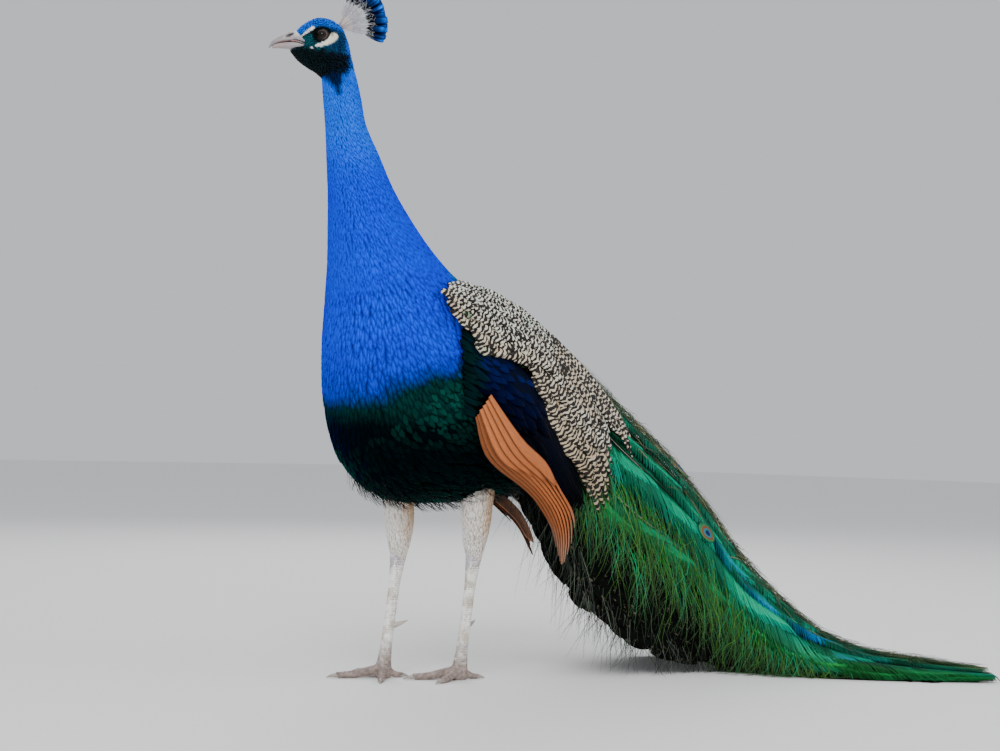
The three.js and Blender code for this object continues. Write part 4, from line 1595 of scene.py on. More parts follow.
@dataclass
class BodyCoat(Maker):
    """Feathers of the neck, breast, belly, back and thighs."""

    markings: Markings
    surface: TrunkSurface = field(default_factory=TrunkSurface)
    breast_from: float = 0.40
    belly_from: float = 0.60
    fringe_count: int = 1100
    rng: Random = field(default_factory=lambda: np.random.default_rng(11))

    def build(self) -> None:
        """Builds every coat of the body."""
        self.neck()
        self.breast()
        self.belly()
        self.fringe()
        self.back()

    def roots(self, u_range: Span, gaps: Array,
              v_range: Span = (0, TURN)) -> tuple[Array, Array]:
        """Staggered roots on the trunk."""
        return rows_on(self.surface, u_range, v_range, gaps, self.rng)

    def coat(self, u: Array, v: Array, length: Array, half: Array, lie: Lie, stray: float,
             unevenness: float) -> Coat:
        """Lays feathers at roots on the trunk and colours them by place.

        Args:
            u: Root places along the body.
            v: Root angles.
            length: Length of each feather.
            half: Half width of each feather.
            lie: How they lie.
            stray: Spread of their direction in radians.
            unevenness: Spread of their height in millimetres.

        Returns:
            The coat.
        """
        turn = self.rng.normal(0, stray, len(u))
        height = self.vary(u, -unevenness, unevenness)
        spine, side, up = laid(self.surface, u, v, length, turn, lie, raise_by=height)
        colour = self.markings.body(spine)
        return Coat(spine, side, up, half, colour, tied(u, v / TURN))

    def neck(self) -> None:
        """Fine pointed blue feathers from the throat to the breast."""
        u, v = self.roots((-0.012, self.breast_from + 0.02), ((2.8, 2.5), (4.4, 4.9)))
        size = 0.75 + 0.55 * np.clip(u / self.breast_from, 0, 1)
        length = 15 * size * self.vary(u, 0.85, 1.15)
        coat = self.coat(u, v, length, 2.7 * size * self.vary(u, 0.85, 1.2), Lie(1.1, 0.2, 0.1), 0.08, 0.10)
        finish = Plumage("blue_neck", metal=0.55, rough=0.58, root_shade=0.94, tip_highlight=1.06,
            edge_shade=1.0, pitch=0.05, spread=0.07, patchy=0.16, gloss=0.0, glare=(0.2, 0.45, 1.0))
        weave("neck_feathers", coat, Cut(2, (0.7, 1.0, 0.8, 0.12), 0.35, 0.14), self.rng, finish, Slot.NECK)

    def breast(self) -> None:
        """Broader overlapping blue feathers of the breast and shoulders."""
        u, v = self.roots((self.breast_from - 0.01, self.belly_from + 0.05), ((5.4, 5.2), (7.6, 7.6)))
        share = np.clip((u - self.breast_from) / (self.belly_from - self.breast_from), 0, 1)
        length = (19 + 4 * share) * self.vary(u, 0.9, 1.12)
        coat = self.coat(u, v, length, (3.5 + 1.7 * share) * self.vary(u, 0.9, 1.15), Lie(1.3, 0.25, 0.1),
            0.10, 0.12)
        finish = Plumage("blue_breast", metal=0.55, rough=0.58, root_shade=0.9, tip_highlight=1.06,
            edge_shade=0.95, pitch=0.07, spread=0.09, patchy=0.2, gloss=0.0, glare=(0.2, 0.45, 1.0))
        weave("breast_feathers", coat, Cut(2, (0.6, 1.0, 1.0, 0.85, 0.3), 0.35, 0.14), self.rng, finish,
            Slot.NECK)

    def belly(self) -> None:
        """Dark scale feathers with bright green middles, down the belly and under the rump."""
        u, v = self.roots((self.belly_from, 0.93), ((9, 9.5), (11.5, 11.5)), (0.9, TURN - 0.9))
        length = 22 * self.vary(u, 0.9, 1.15)
        coat = self.coat(u, v, length, 6.6 * self.vary(u, 0.9, 1.1), Lie(2.6, 0.8, 0.5, 5), 0.12, 0.6)
        root = coat.spine[:, 2]
        # lit: the bright green middles fade out lower down, partly painted shade under the body.
        lit = (0.25 + 0.6 * lumps(root, 34, 8)) * smooth(300, 365, root[:, 2])
        green = mixed(self.markings.black_green, (0.001, 0.078, 0.058), lit)
        blue = smooth(-12, 12, root[:, 2] - self.markings.edge_of_blue(root))
        deep = mixed(self.markings.deep_blue, self.markings.blue, lumps(root, 20, 4))
        coat.colour = mixed(green, deep, blue)
        finish = Plumage("green_scales", metal=0.8, rough=0.5, root_shade=0.3, tip_highlight=1.2,
            edge_shade=0.15, pitch=0.08, patchy=0.3, spread=0.2, gloss=0.0, glare=(0.2, 0.8, 0.7))
        weave("belly_feathers", coat, Cut(4, (0.5, 0.95, 1.0, 0.9, 0.66, 0.2), 0.6, 0.22), self.rng, finish,
            Slot.BELLY)

    def fringe(self) -> None:
        """Loose black barbs that hang between and behind the legs."""
        count = self.fringe_count
        u, v = self.rng.uniform(0.64, 0.92, count), math.pi + self.rng.normal(0, 0.5, count)
        coat = self.coat(u, v, self.rng.uniform(16, 38, count), np.full(count, 0.6), Lie(2.0, 12.0, 0.0, 5),
            0.4, 2.0)
        coat.colour = np.tile(self.markings.black_green, (count, 1))
        weave("belly_fringe", coat, Cut(2, (1.0, 1.0, 0.8, 0.3), 0.4, 0.0), self.rng,
            Plumage("black_fringe", metal=0.5, gloss=0.0), Slot.BELLY)

    def back(self) -> None:
        """Bright green scales with black edges between the wings, bronze towards the train."""
        u, v = self.roots((0.46, 0.99), ((8, 9), (11, 13)), (-1.3, 1.3))
        kept = np.abs(v) < 0.95 + 0.35 * smooth(0.56, 0.70, u)
        u, v = u[kept], v[kept]
        length = 20 * self.vary(u, 0.9, 1.1)
        coat = self.coat(u, v, length, 7.0 * self.vary(u, 0.9, 1.1), Lie(2.5, 1.3, 0.7, 5), 0.08, 0.5)
        coat.colour = mixed((0.008, 0.24, 0.12), (0.08, 0.15, 0.035),
            np.clip(smooth(0.5, 0.8, u) + 0.5 * lumps(coat.spine[:, 2], 22, 4) - 0.2, 0, 1))
        swell = 9.0 * smooth(0.60, 1.1, np.abs(v)) * smooth(0.52, 0.64, u)
        coat.spine = coat.spine + coat.up * swell[:, None, None]
        coat.place = tied(u, 0.04 + 0.92 * (v + 1.3) / 2.6)
        finish = Plumage("back_scales", metal=0.8, rough=0.42, root_shade=0.6, tip_highlight=0.9,
            edge_shade=0.05, pitch=0.07)
        weave("back_feathers", coat, Cut(4, (0.6, 1.0, 1.0, 0.86, 0.5), 0.6, 0.25), self.rng, finish,
            Slot.BELLY)


# ---------------------------------------------------------------- head


@dataclass
class Head(Maker):
    """Tiny feathers, eyes with lids, and the bill."""

    markings: Markings
    surface: HeadSurface = field(default_factory=HeadSurface)
    eye_radius: float = 7.6
    eye_spread: float = 13.6
    eye_tilt: float = 0.14
    rng: Random = field(default_factory=lambda: np.random.default_rng(23))

    def build(self) -> None:
        """Builds every piece of the head."""
        self.feathers()
        for side in Side:
            self.eye(side)
            self.lids(side)
            self.gape(side)
        self.bill()

    def feathers(self) -> None:
        """Small curled feathers lying back over the head, left off the bare patches, eyes and bill."""
        u, v = rows_on(self.surface, (0.0, 1.0), (0, TURN), ((2.3, 2.0), (1.6, 1.5)), self.rng, 0.42)
        points = self.surface.point(u, v)
        ahead, up = self.markings.on_head(points)
        eye = np.hypot((ahead + 1) / 1.08, up + EYE_DROP)
        bill_edge = 36 + 12 * smooth(-21, -24, up) - 13.5 * np.exp(-(((up + 17.0) / 5.0) ** 2))
        keep = (self.markings.bare(points) < 0.35) & (eye > 8.6) & (ahead < bill_edge)
        u, v, up, ahead = u[keep], v[keep], up[keep], ahead[keep]
        crown = smooth(-2, 6, up - self.markings.crown_line(ahead))
        length = (3.6 + 1.9 * smooth(5, -30, ahead)) * self.vary(u, 0.85, 1.2)
        turn = self.rng.normal(0, 0.35, len(u))
        lift = self.vary(u, -0.2, 0.35) + crown * self.vary(u, 0, 0.7)
        spine, side, high = laid(self.surface, u, v, length, turn, Lie(1.3, 0.1, 0.35), -1.0, lift)
        colour = self.markings.head(spine)
        colour = colour * (1 + 0.5 * crown * self.vary(u, -0.5, 1.0))[:, None, None]
        coat = Coat(spine, side, high, 1.15 * self.vary(u, 0.85, 1.2), colour, tied(u, v / TURN))
        finish = Plumage("velvet_head", metal=0.8, rough=0.5, root_shade=0.45, tip_highlight=1.3, pitch=0.03,
            spread=0.3)
        weave("head_feathers", coat, Cut(2, (0.7, 1.0, 0.9, 0.35), 0.35, 0.35), self.rng, finish, Slot.HEAD)

    def eye_axis(self, side: Side) -> tuple[Array, Array]:
        """The eyeball's centre and the way it looks.

        Args:
            side: Which eye.

        Returns:
            The centre and the direction.
        """
        centre = head_point(np.array(-0.8), np.array(side.value * self.eye_spread), np.array(-EYE_DROP))
        axis = LEFTWARD * side.value * math.cos(self.eye_tilt) + FORWARD * math.sin(self.eye_tilt)
        return centre, axis

    def eye(self, side: Side) -> None:
        """A round eyeball with a slightly raised clear front.

        Args:
            side: Which eye.
        """
        centre, axis = self.eye_axis(side)
        polar = np.linspace(0.01, 0.62 * math.pi, 40)
        radius = self.eye_radius * (1 + 0.07 * np.exp(-((polar / 0.55) ** 2)))
        path = centre + axis * (radius * np.cos(polar))[:, None]
        rings = tube_rings(path, radius * np.sin(polar), radius * np.sin(polar), UPWARD, 64)
        finish = WetEye(f"wet_eye_{side.word}")
        loft(f"eyeball_{side.word}", rings, np.full(3, 0.05), finish, Slot.EYE, f"eye_{side.word}")

    def lids(self, side: Side) -> None:
        """Folded bare lids round the eye.

        Args:
            side: Which eye.
        """
        centre, axis = self.eye_axis(side)
        profile = np.array([(5.9, 4.2), (5.95, 4.9), (6.35, 5.25), (6.9, 5.2), (7.25, 4.7), (7.6, 4.75),
                            (8.1, 4.6), (8.45, 4.15), (8.9, 4.2), (9.5, 3.6), (9.9, 2.4), (7.6, 2.2)])
        turn = np.arange(72) / 72 * TURN
        ahead = unit(np.cross(axis, UPWARD)) * -side.value
        above = np.cross(ahead, axis) * side.value
        corner = 1 + 0.07 * np.exp(-(((turn - math.pi) / 0.35) ** 2)) + 0.05 * np.exp(-((turn / 0.3) ** 2))
        corner = corner + 0.05 * np.exp(-(((turn - TURN) / 0.3) ** 2))
        crease = 1 + 0.012 * np.sin(turn * 23)
        out = profile[None, :, 0] * (corner * crease)[:, None]
        rings = (centre + ahead * (np.cos(turn)[:, None] * out)[..., None] + above *
            (np.sin(turn)[:, None] * out * 0.90)[..., None] + axis * profile[None, :, 1, None])
        shade = np.interp(profile[:, 0], [5.9, 6.4, 7.0, 7.8, 9.9], [0.02, 0.10, 0.07, 0.022, 0.004])
        if side is Side.LEFT:
            rings, shade = rings[:, ::-1], shade[::-1]
        tint = np.array([1.0, 0.86, 0.80])
        colours = shade[None, :, None] * tint
        loft(f"eyelids_{side.word}", rings, colours, Hide(f"lid_skin_{side.word}", grain=1400.0, rough=0.5,
            depth=0.0003), Slot.HEAD, hoop=True)

    def gape(self, side: Side) -> None:
        """The soft pink corner of the mouth, running back from the bill.

        Args:
            side: Which corner.
        """
        t = steps(12)
        ahead = 40 - 18.5 * t
        up = np.interp(ahead, [21.5, 23, 29, 34.5, 40], [-18.2, -17.6, -15.3, -13.1, -12.0])
        left = side.value * np.interp(ahead, [21.5, 23, 29, 34.5, 38.5, 40],
            [17.6, 17.4, 16.7, 13.3, 10.0, 9.2])
        path = head_point(ahead, left, up)
        size = 1.15 * np.sqrt(np.clip(1.04 - t, 0.02, 1))
        rings = tube_rings(path, size, size * 0.9, UPWARD, 12)
        loft(f"gape_{side.word}", rings, np.array([0.34, 0.19, 0.18]),
            Hide(f"gape_skin_{side.word}", grain=1500.0, rough=0.5), Slot.BILL)

    def bill(self) -> None:
        """Both halves of the bill, with nostrils set into the upper one."""
        upper = np.array([(21.5, -9.5, -17.6, 17.8), (29, -2, -14.9, 16.8), (34.5, 2.0, -12.7, 13.4),
                          (38.5, 2.6, -11.9, 9.6), (46, 0.9, -11.7, 7.6), (54, -2.4, -12.4, 6.0),
                          (61.5, -6.6, -14.0, 4.4), (67.5, -11.6, -17.2, 2.7), (71, -18.0, -20.4, 0.7)])
        lower = np.array([(23, -18.0, -22.0, 17.2), (29, -15.7, -22.6, 16.6), (34.5, -13.5, -22.3, 13.6),
                          (40, -12.7, -21.4, 10.0), (48, -12.6, -20.3, 6.6), (57, -13.8, -19.8, 4.3),
                          (64, -16.2, -19.9, 2.2), (66.5, -17.6, -19.9, 1.0)])
        for name, stations, node in (("upper", upper, "bill_upper"), ("lower", lower, "bill_lower")):
            ahead, top, low, half = np.moveaxis(blend(stations, steps(72)), -1, 0)
            angle = np.arange(56) / 56 * TURN
            across, rise = np.sin(angle), np.cos(angle)
            full = np.sign(across) * np.abs(across) ** 0.85
            if name == "upper":
                rise = np.where(rise < 0, -np.abs(rise) ** 0.45, rise)
            else:
                rise = np.where(rise > 0, np.abs(rise) ** 0.45, rise)
            up = (top + low)[:, None] / 2 + rise * (top - low)[:, None] / 2
            left = -full * half[:, None]
            far = np.broadcast_to(ahead[:, None], up.shape)
            lip = np.exp(-(((up - (low if name == "upper" else top)[:, None]) / 1.1) ** 2))
            tone = np.interp(far, [23, 32, 40, 60, 71], [0.26, 0.38, 0.38, 0.30, 0.24])[..., None]
            colours = tone * np.array([1.0, 0.90, 0.95])
            colours = mixed(colours, (0.26, 0.12, 0.11), np.clip(lip * smooth(68, 44, far), 0, 1) * 0.85)
            if name == "upper":
                slot = np.exp(-((far - 42.3) / 6.4) ** 4 - ((up + 3.4 + 0.33 * (far - 42.3)) / 1.9) ** 2)
                slot = slot * smooth(1.0, 2.8, np.abs(left))
                left = left * (1 - 0.42 * slot)
                colours = mixed(colours, (0.035, 0.022, 0.024), smooth(0.28, 0.6, slot))
                cere = smooth(40, 35, far) * smooth(-9, -4, up)
                colours = mixed(colours, (0.74, 0.70, 0.70), cere * 0.8)
            else:
                colours = mixed(colours, (0.46, 0.31, 0.27), 0.45 * smooth(36, 56, far))
            rings = head_point(far, left, up)
            loft(f"bill_{name}_half", rings, colours, Horn(f"horn_{name}"), Slot.BILL, node)


@dataclass
class Crest(Maker):
    """An upright fan of bare pale shafts that end in blue-green paddles."""

    count: int = 24
    root_ahead: float = -19.0
    root_up: float = 8.0
    lowest: float = math.radians(192)
    highest: float = math.radians(108)
    length: float = 67.0
    paddle: float = 27.0
    rng: Random = field(default_factory=lambda: np.random.default_rng(31))

    def build(self) -> None:
        """Builds shafts, pale fluff and paddles."""
        angle = np.linspace(self.lowest, self.highest, self.count) + self.rng.normal(0, 0.012, self.count)
        middle = (self.lowest + self.highest) / 2
        length = self.length - 6 * ((angle - middle) / 0.8) ** 2 + self.rng.uniform(-3, 1, self.count)
        lean = self.rng.uniform(-0.13, 0.13, self.count)
        start = self.stops(angle, lean, np.linspace(0.06, 0.72, 8), length)
        square = np.broadcast_to(self.square(angle)[:, None], start.shape)
        spine, side, up = framed(start, np.broadcast_to(LEFTWARD, start.shape))
        place = tied(np.linspace(0.05, 0.95, self.count), np.full(self.count, 0.2))
        pale = steps(8)[None, :, None]
        shafts = Coat(spine, side, up, np.full(self.count, 0.42), (1 - 0.25 * pale) *
            np.array([0.66, 0.56, 0.55]) * np.ones((self.count, 1, 1)), place)
        weave("crest_shafts", shafts, Cut(2, (1.2, 1.0, 0.8, 0.7), 0.85, 0.0), self.rng,
            Plumage("shaft_horn", metal=0.0, rough=0.45, root_shade=0.9, tip_highlight=1.0, pitch=0.04),
            Slot.CREST, "crest")
        self.fluff(angle, lean, length, square[:, 0])
        self.paddles(angle, lean, length)

    def stops(self, angle: Array, lean: Array, share: Array, length: Array) -> Array:
        """Points along each shaft at shares of its length.

        Args:
            angle: Each shaft's angle.
            lean: How far each leans to the left.
            share: Shares of the length.
            length: Each shaft's length.

        Returns:
            The points, one row for each shaft.
        """
        far = length[:, None] * share
        bow = 0.05 * np.sin(share * math.pi) * length[:, None]
        ahead = self.root_ahead + far * np.cos(angle)[:, None] + bow * np.sin(angle)[:, None] * 0.4
        up = self.root_up + far * np.sin(angle)[:, None] - bow * np.cos(angle)[:, None] * 0.4
        return head_point(ahead, lean[:, None] * far, up)

    def square(self, angle: Array) -> Array:
        """The direction square to each shaft in the plane of the fan."""
        return -np.sin(angle)[:, None] * FORWARD + np.cos(angle)[:, None] * UPWARD

    def fluff(self, angle: Array, lean: Array, length: Array, square: Array) -> None:
        """Sparse pale barbs on the middle of the shafts.

        Args:
            angle: Each shaft's angle.
            lean: How far each leans to the left.
            length: Each shaft's length.
            square: The direction square to each shaft.
        """
        per_side = 13
        share = np.linspace(0.30, 0.70, per_side)
        roots = self.stops(angle, lean, share, length)
        onward = unit(roots[:, -1] - roots[:, 0])
        starts, ways = [], []
        for sign in (-1, 1):
            for index in range(per_side):
                way = onward * 0.75 + sign * square * 0.62 + LEFTWARD * self.rng.normal(0, 0.3,
                    (self.count, 1))
                starts.append(roots[:, index])
                ways.append(unit(way))
        start, way = np.concatenate(starts), np.concatenate(ways)
        far = self.vary(start, 4.5, 8.5)[:, None, None] * steps(4)[None, :, None]
        curl = self.rng.normal(0, 0.012, (len(start), 1, 3)) * far**2
        spine, side, up = framed(start[:, None] + way[:, None] * far + curl,
            np.broadcast_to(LEFTWARD, (len(start), 4, 3)))
        tint = np.tile(np.array([0.62, 0.66, 0.72]), (len(start), 1)) * self.rng.uniform(0.7, 1.2,
            (len(start), 1))
        place = tied(np.tile(np.linspace(0.05, 0.95, self.count), 2 * per_side),
            np.repeat(np.linspace(0.35, 0.55, 2 * per_side), self.count))
        weave("crest_fluff", Coat(spine, side, up, np.full(len(start), 0.21), tint, place),
            Cut(2, (1.0, 0.9, 0.6, 0.2), 0.25, 0.0), self.rng, Plumage("pale_fluff", metal=0.0, rough=0.6,
            root_shade=0.9, tip_highlight=1.1, pitch=0.05), Slot.CREST)

    def paddles(self, angle: Array, lean: Array, length: Array) -> None:
        """Blue-green paddles, black at their roots.

        Args:
            angle: Each shaft's angle.
            lean: How far each leans to the left.
            length: Each shaft's length.
        """
        share = np.linspace(1 - self.paddle / self.length, 1.0, 9)
        points = self.stops(angle, lean, share, length)
        facing = unit(LEFTWARD + self.rng.normal(0, 0.36, (self.count, 3)))
        spine, side, up = framed(points, np.broadcast_to(facing[:, None], points.shape))
        t = steps(9)
        tint = mixed(mixed((0.001, 0.002, 0.006), (0.001, 0.020, 0.12), smooth(0.30, 0.55, t)),
            (0.001, 0.12, 0.62), smooth(0.62, 0.9, t))
        place = tied(np.linspace(0.05, 0.95, self.count), np.full(self.count, 0.8))
        tint = tint[None] * self.rng.uniform(0.35, 1.2, (self.count, 1, 1))
        coat = Coat(spine, side, up, np.full(self.count, 4.7), tint, place, 0.03)
        weave("crest_paddles", coat, Cut(6, (0.15, 0.5, 0.78, 0.92, 1.0, 1.0, 0.7), 0.5, 0.3), self.rng,
            Plumage("crest_blue", metal=0.85, rough=0.42, root_shade=0.9, tip_highlight=1.2, edge_shade=0.35,
            pitch=0.09, spread=0.4), Slot.CREST)


# ---------------------------------------------------------------- wings


WING_EDGES = {
    "coverts": [
        (10, -36, 533, -34, -104, 500), (52, -46, 524, -6, -117, 466), (92, -50, 511, 30, -122, 428),
        (135, -50, 488, 84, -124, 418), (185, -50, 451, 116, -122, 381), (234, -50, 411, 142, -117, 336),
        (284, -50, 358, 186, -108, 279), (316, -52, 306, 226, -98, 212)],
    "secondaries": [
        (6, -108, 462, 8, -110, 352), (60, -117, 420, 45, -114, 334), (104, -116, 390, 86, -112, 308),
        (130, -112, 348, 125, -106, 282), (172, -102, 292, 165, -97, 235), (214, -90, 232, 200, -88, 200)],
    "primaries": [
        (32, -119, 372, 16, -117, 346), (80, -119, 317, 32, -113, 306), (123, -112, 287, 62, -107, 280),
        (152, -104, 256, 104, -98, 254), (180, -96, 221, 130, -93, 233), (184, -92, 186, 154, -90, 200),
        (174, -90, 152, 164, -89, 156)],
}


@dataclass
class Wing(Maker):
    """A folded wing: barred coverts over blue-black secondaries over rufous primaries."""

    side: Side
    tertial_count: int = 13
    secondary_count: int = 10
    primary_count: int = 9
    primary_covert_count: int = 4
    long_stops: int = 14
    primary_stops: int = 20
    covert_stops: int = 12

    def __post_init__(self) -> None:
        """Sets up the three layers."""
        self.rng = np.random.default_rng(40 + self.side.value)
        self.name = self.side.word
        self.coverts = WingSurface(self.side, WING_EDGES["coverts"], 22, False)
        self.secondaries = WingSurface(self.side, WING_EDGES["secondaries"], 8, False)
        self.primaries = WingSurface(self.side, WING_EDGES["primaries"], 3, self.side is Side.RIGHT)

    def build(self) -> None:
        """Builds every layer and the down under it."""
        self.barred()
        self.dark()
        self.rufous()

    def down(self, layer: str, surface: WingSurface, v_range: Span, colour: Colour, slot: Slot,
             end: float = 0.94) -> None:
        """A thin dark sheet under one layer.

        Args:
            layer: The layer's name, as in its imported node.
            surface: The layer's surface.
            v_range: Its two edges.
            colour: Its colour.
            slot: The record's material slot.
            end: Where it ends, as a share of the layer's length.
        """
        name = f"down_{layer}_{self.name}"
        under_sheet(name, surface, (0.05, end), v_range, colour,
            Hide(name, grain=260.0, rough=0.9, depth=0.0008), slot, f"wing_{self.name}_{layer}")

    def barred(self) -> None:
        """Small to large barred coverts, then the long pointed ones at the rear."""
        self.down("coverts", self.coverts, (0.02, 0.97), (0.012, 0.011, 0.010), Slot.BARRED, 0.74)
        u, v = rows_on(self.coverts, (-0.03, 0.80), (-0.02, 1.0), ((9, 9.5), (26, 20)), self.rng, 0.25)
        share = np.clip(u, 0, 1)
        length = (20 + 52 * share) * self.vary(u, 0.9, 1.12)
        half = (6.4 + 9 * share) * self.vary(u, 0.9, 1.08)
        turn = self.rng.normal(0.0, 0.06, len(u)) / np.maximum(length / 30, 1)
        spine, side, up = laid(self.coverts, u, v, length, turn, Lie(2.6, 1.3, 0.8, 7),
            raise_by=self.vary(u, -0.5, 0.5))
        warm = smooth(0.35, 1.0, v) * 0.7 + 0.3 * smooth(0.3, 0.9, u)
        colour = mixed((1.30, 1.44, 1.54), (0.92, 0.79, 0.60), warm)
        green = smooth(0.88, 0.97, self.rng.random(len(u))) * smooth(0.45, 0.1, share) * 0.85
        colour = mixed(colour, (0.05, 0.62, 0.40), green)
        place = tied(0.04 + 0.8 * share, 0.04 + 0.9 * np.clip(v, 0, 1))
        coat = Coat(spine, side, up, half, colour, place, 0.028)
        finish = Barred(f"barred_{self.name}", bar=0.62, dark_share=0.53)
        weave(f"coverts_{self.name}", coat, Cut(6, (0.62, 0.9, 1.0, 1.0, 0.92, 0.66, 0.2), 0.6, 0.16),
            self.rng, finish, Slot.BARRED)
        self.tertials(finish)

    def tertials(self, finish: Barred) -> None:
        """Long overlapping barred feathers that run to the rear points.

        Args:
            finish: The finish of the shorter barred feathers.
        """
        count, stops = self.tertial_count, self.long_stops
        v = np.linspace(0.03, 0.95, count)
        end = np.interp(v, [0, 0.20, 0.28, 0.34, 0.42, 0.50, 0.66, 0.80, 1.0],
            [0.99, 0.965, 0.82, 0.75, 0.82, 0.885, 0.937, 0.97, 1.0])
        start = np.full(count, 0.52)
        spine, side, up = self.run(self.coverts, v, start, end, stops, 2.2, 0.4)
        coat = Coat(spine, side, up, self.breadth(self.coverts, start, end, stops, count, 0.9),
            mixed((1.15, 1.12, 1.06), (0.80, 0.68, 0.51), v), tied(np.full(count, 0.92), v), 0.065)
        weave(f"tertials_{self.name}", coat, Cut(6, (0.9, 1.0, 1.0, 1.0, 1.0, 0.95, 0.7, 0.15), 0.8, 0.2),
            self.rng, Barred(f"{finish.name}_long", bar=0.78, dark_share=0.545), Slot.BARRED)

    def run(self, surface: WingSurface, v: Array, start: Array, end: Array, stops: int, drop: float,
            step: float) -> Frames:
        """Long feathers that follow a layer from front to tip.

        Args:
            surface: The layer.
            v: Place of each feather across it.
            start: Where each starts.
            end: Where each ends.
            stops: Points along each.
            drop: Depth of the lowest feather under the surface.
            step: Extra height of each feather over the one below.

        Returns:
            Middle lines, side directions and up directions.
        """
        t = steps(stops)
        at_u = start[:, None] + (end - start)[:, None] * t
        at_v = np.broadcast_to(v[:, None], at_u.shape)
        normals = surface.normal(at_u, at_v)
        order = np.linspace(1, 0, len(v))[:, None] * step * len(v) - drop
        spine = surface.point(at_u, at_v) + normals * (order + 0.5 * np.sin(math.pi * t))[..., None]
        return framed(spine, normals)

    @staticmethod
    def breadth(surface: WingSurface, start: Array, end: Array, stops: int, count: int,
                overlap: float) -> Array:
        """Half widths that let neighbouring feathers overlap wherever the layer is wide or narrow.

        Args:
            surface: The layer.
            start: Where each feather starts.
            end: Where each ends.
            stops: Points along each.
            count: How many feathers share the layer's width.
            overlap: Half width as a share of the room that each has.

        Returns:
            A half width for each stop of each feather.
        """
        at_u = start[:, None] + (end - start)[:, None] * steps(stops)
        whole = np.linalg.norm(surface.point(at_u, np.zeros_like(at_u)) -
            surface.point(at_u, np.ones_like(at_u)), axis=-1)
        return np.maximum(whole / count * overlap, 3.0)

    def dark(self) -> None:
        """Blue-black secondaries with blue-shining greater coverts over their roots."""
        self.down("secondaries", self.secondaries, (0.0, 0.98), (0.004, 0.005, 0.009), Slot.DARK)
        count, stops = self.secondary_count, self.long_stops
        v = np.linspace(0.03, 0.97, count)
        start, end = np.full(count, -0.02), 1.0 - 0.05 * (np.arange(count) % 3)
        spine, side, up = self.run(self.secondaries, v, start, end, stops, 2.2, 0.3)
        tint = mixed((0.001, 0.005, 0.030), (0.001, 0.0015, 0.002), np.linspace(0.1, 1, stops))
        coat = Coat(spine, side, up, self.breadth(self.secondaries, start, end, stops, count, 0.9),
            np.tile(tint, (count, 1, 1)), tied(np.full(count, 0.5), v), 0.07)
        weave(f"secondaries_{self.name}", coat, Cut(6, (0.9, 1.0, 1.0, 1.0, 0.95, 0.7, 0.15), 0.8, 0.14),
            self.rng, Flight(f"blue_black_{self.name}", (0.004, 0.004, 0.004), (0.001, 0.001, 0.002),
            metal=0.8, rough=0.5, gloss=0.05), Slot.DARK)
        u, v = rows_on(self.secondaries, (-0.10, 0.42), (0.0, 1.0), ((8, 8), (20, 15)), self.rng, 0.35)
        length = (20 + 66 * np.clip(u, 0, 1)) * self.vary(u, 0.9, 1.1)
        spine, side, up = laid(self.secondaries, u, v, length, self.rng.normal(0.03, 0.05, len(u)),
            Lie(1.0, 1.8, 0.6, 6), raise_by=self.vary(u, -0.3, 0.5))
        shine = lumps(spine[:, 2], 26, 7) * smooth(0.46, 0.05, u) * smooth(0.8, 0.2, v)
        colour = mixed((0.0005, 0.001, 0.004), (0.001, 0.012, 0.13), shine)
        colour = mixed(colour, (0.001, 0.012, 0.013), smooth(0.03, -0.05, u))
        coat = Coat(spine, side, up, 5.6 + 2.6 * smooth(0, 0.2, u), colour,
            tied(0.05 + 0.85 * np.clip(u, 0, 1), 0.05 + 0.9 * v), 0.03)
        weave(f"blue_coverts_{self.name}", coat, Cut(4, (0.7, 1.0, 1.0, 0.9, 0.6, 0.15), 0.6, 0.2),
            self.rng, Plumage(f"blue_shine_{self.name}", metal=0.9, rough=0.46, root_shade=0.7,
            tip_highlight=1.3, edge_shade=0.7, pitch=0.08, gloss=0.05), Slot.DARK)

    def rufous(self) -> None:
        """Rufous primaries, tilted like slats, and the shorter coverts over their roots."""
        # The left wing's down is painted near black, painted shade in the gaps between the slats; the right
        # wing's down is rufous.
        shade = (0.010, 0.005, 0.003) if self.side is Side.LEFT else (0.56, 0.28, 0.18)
        self.down("primaries", self.primaries, (0.04, 0.92), shade, Slot.RUFOUS, 0.9)
        count, stops = self.primary_count, self.primary_stops
        v = np.linspace(0.03, 0.96, count)
        end = np.interp(v, [0, 0.15, 0.35, 0.6, 0.8, 1], [0.72, 0.86, 0.97, 1.0, 0.96, 0.9])
        tint = mixed(mixed((0.56, 0.17, 0.052), (0.46, 0.12, 0.032), steps(stops)), (0.46, 0.25, 0.16),
            smooth(0.78, 1.0, steps(stops)))
        low = mixed(1.0, 0.45, smooth(0.5, 1.0, v))[:, None] * self.rng.uniform(0.8, 1.1, (count, 1, 1))
        self.slats("primaries", v, np.full(count, -0.01), end, np.tile(tint, (count, 1, 1)) * low, stops,
            (1.7, 0.7, 0.95, 0.40), (0.85, 1.0, 1.0, 0.85, 0.52, 0.42, 0.40, 0.46, 0.5, 0.3))
        count, stops = self.primary_covert_count, self.covert_stops
        v = np.linspace(0.10, 0.66, count)
        tint = np.tile(tint[:stops] * 1.1, (count, 1, 1)) * self.rng.uniform(0.85, 1.12, (count, 1, 1))
        self.slats("primary_coverts", v, np.full(count, -0.03), np.linspace(0.46, 0.34, count), tint, stops,
            (-4.0, 1.0, 1.35, 0.16), (0.8, 1.0, 1.0, 0.95, 0.8, 0.35))

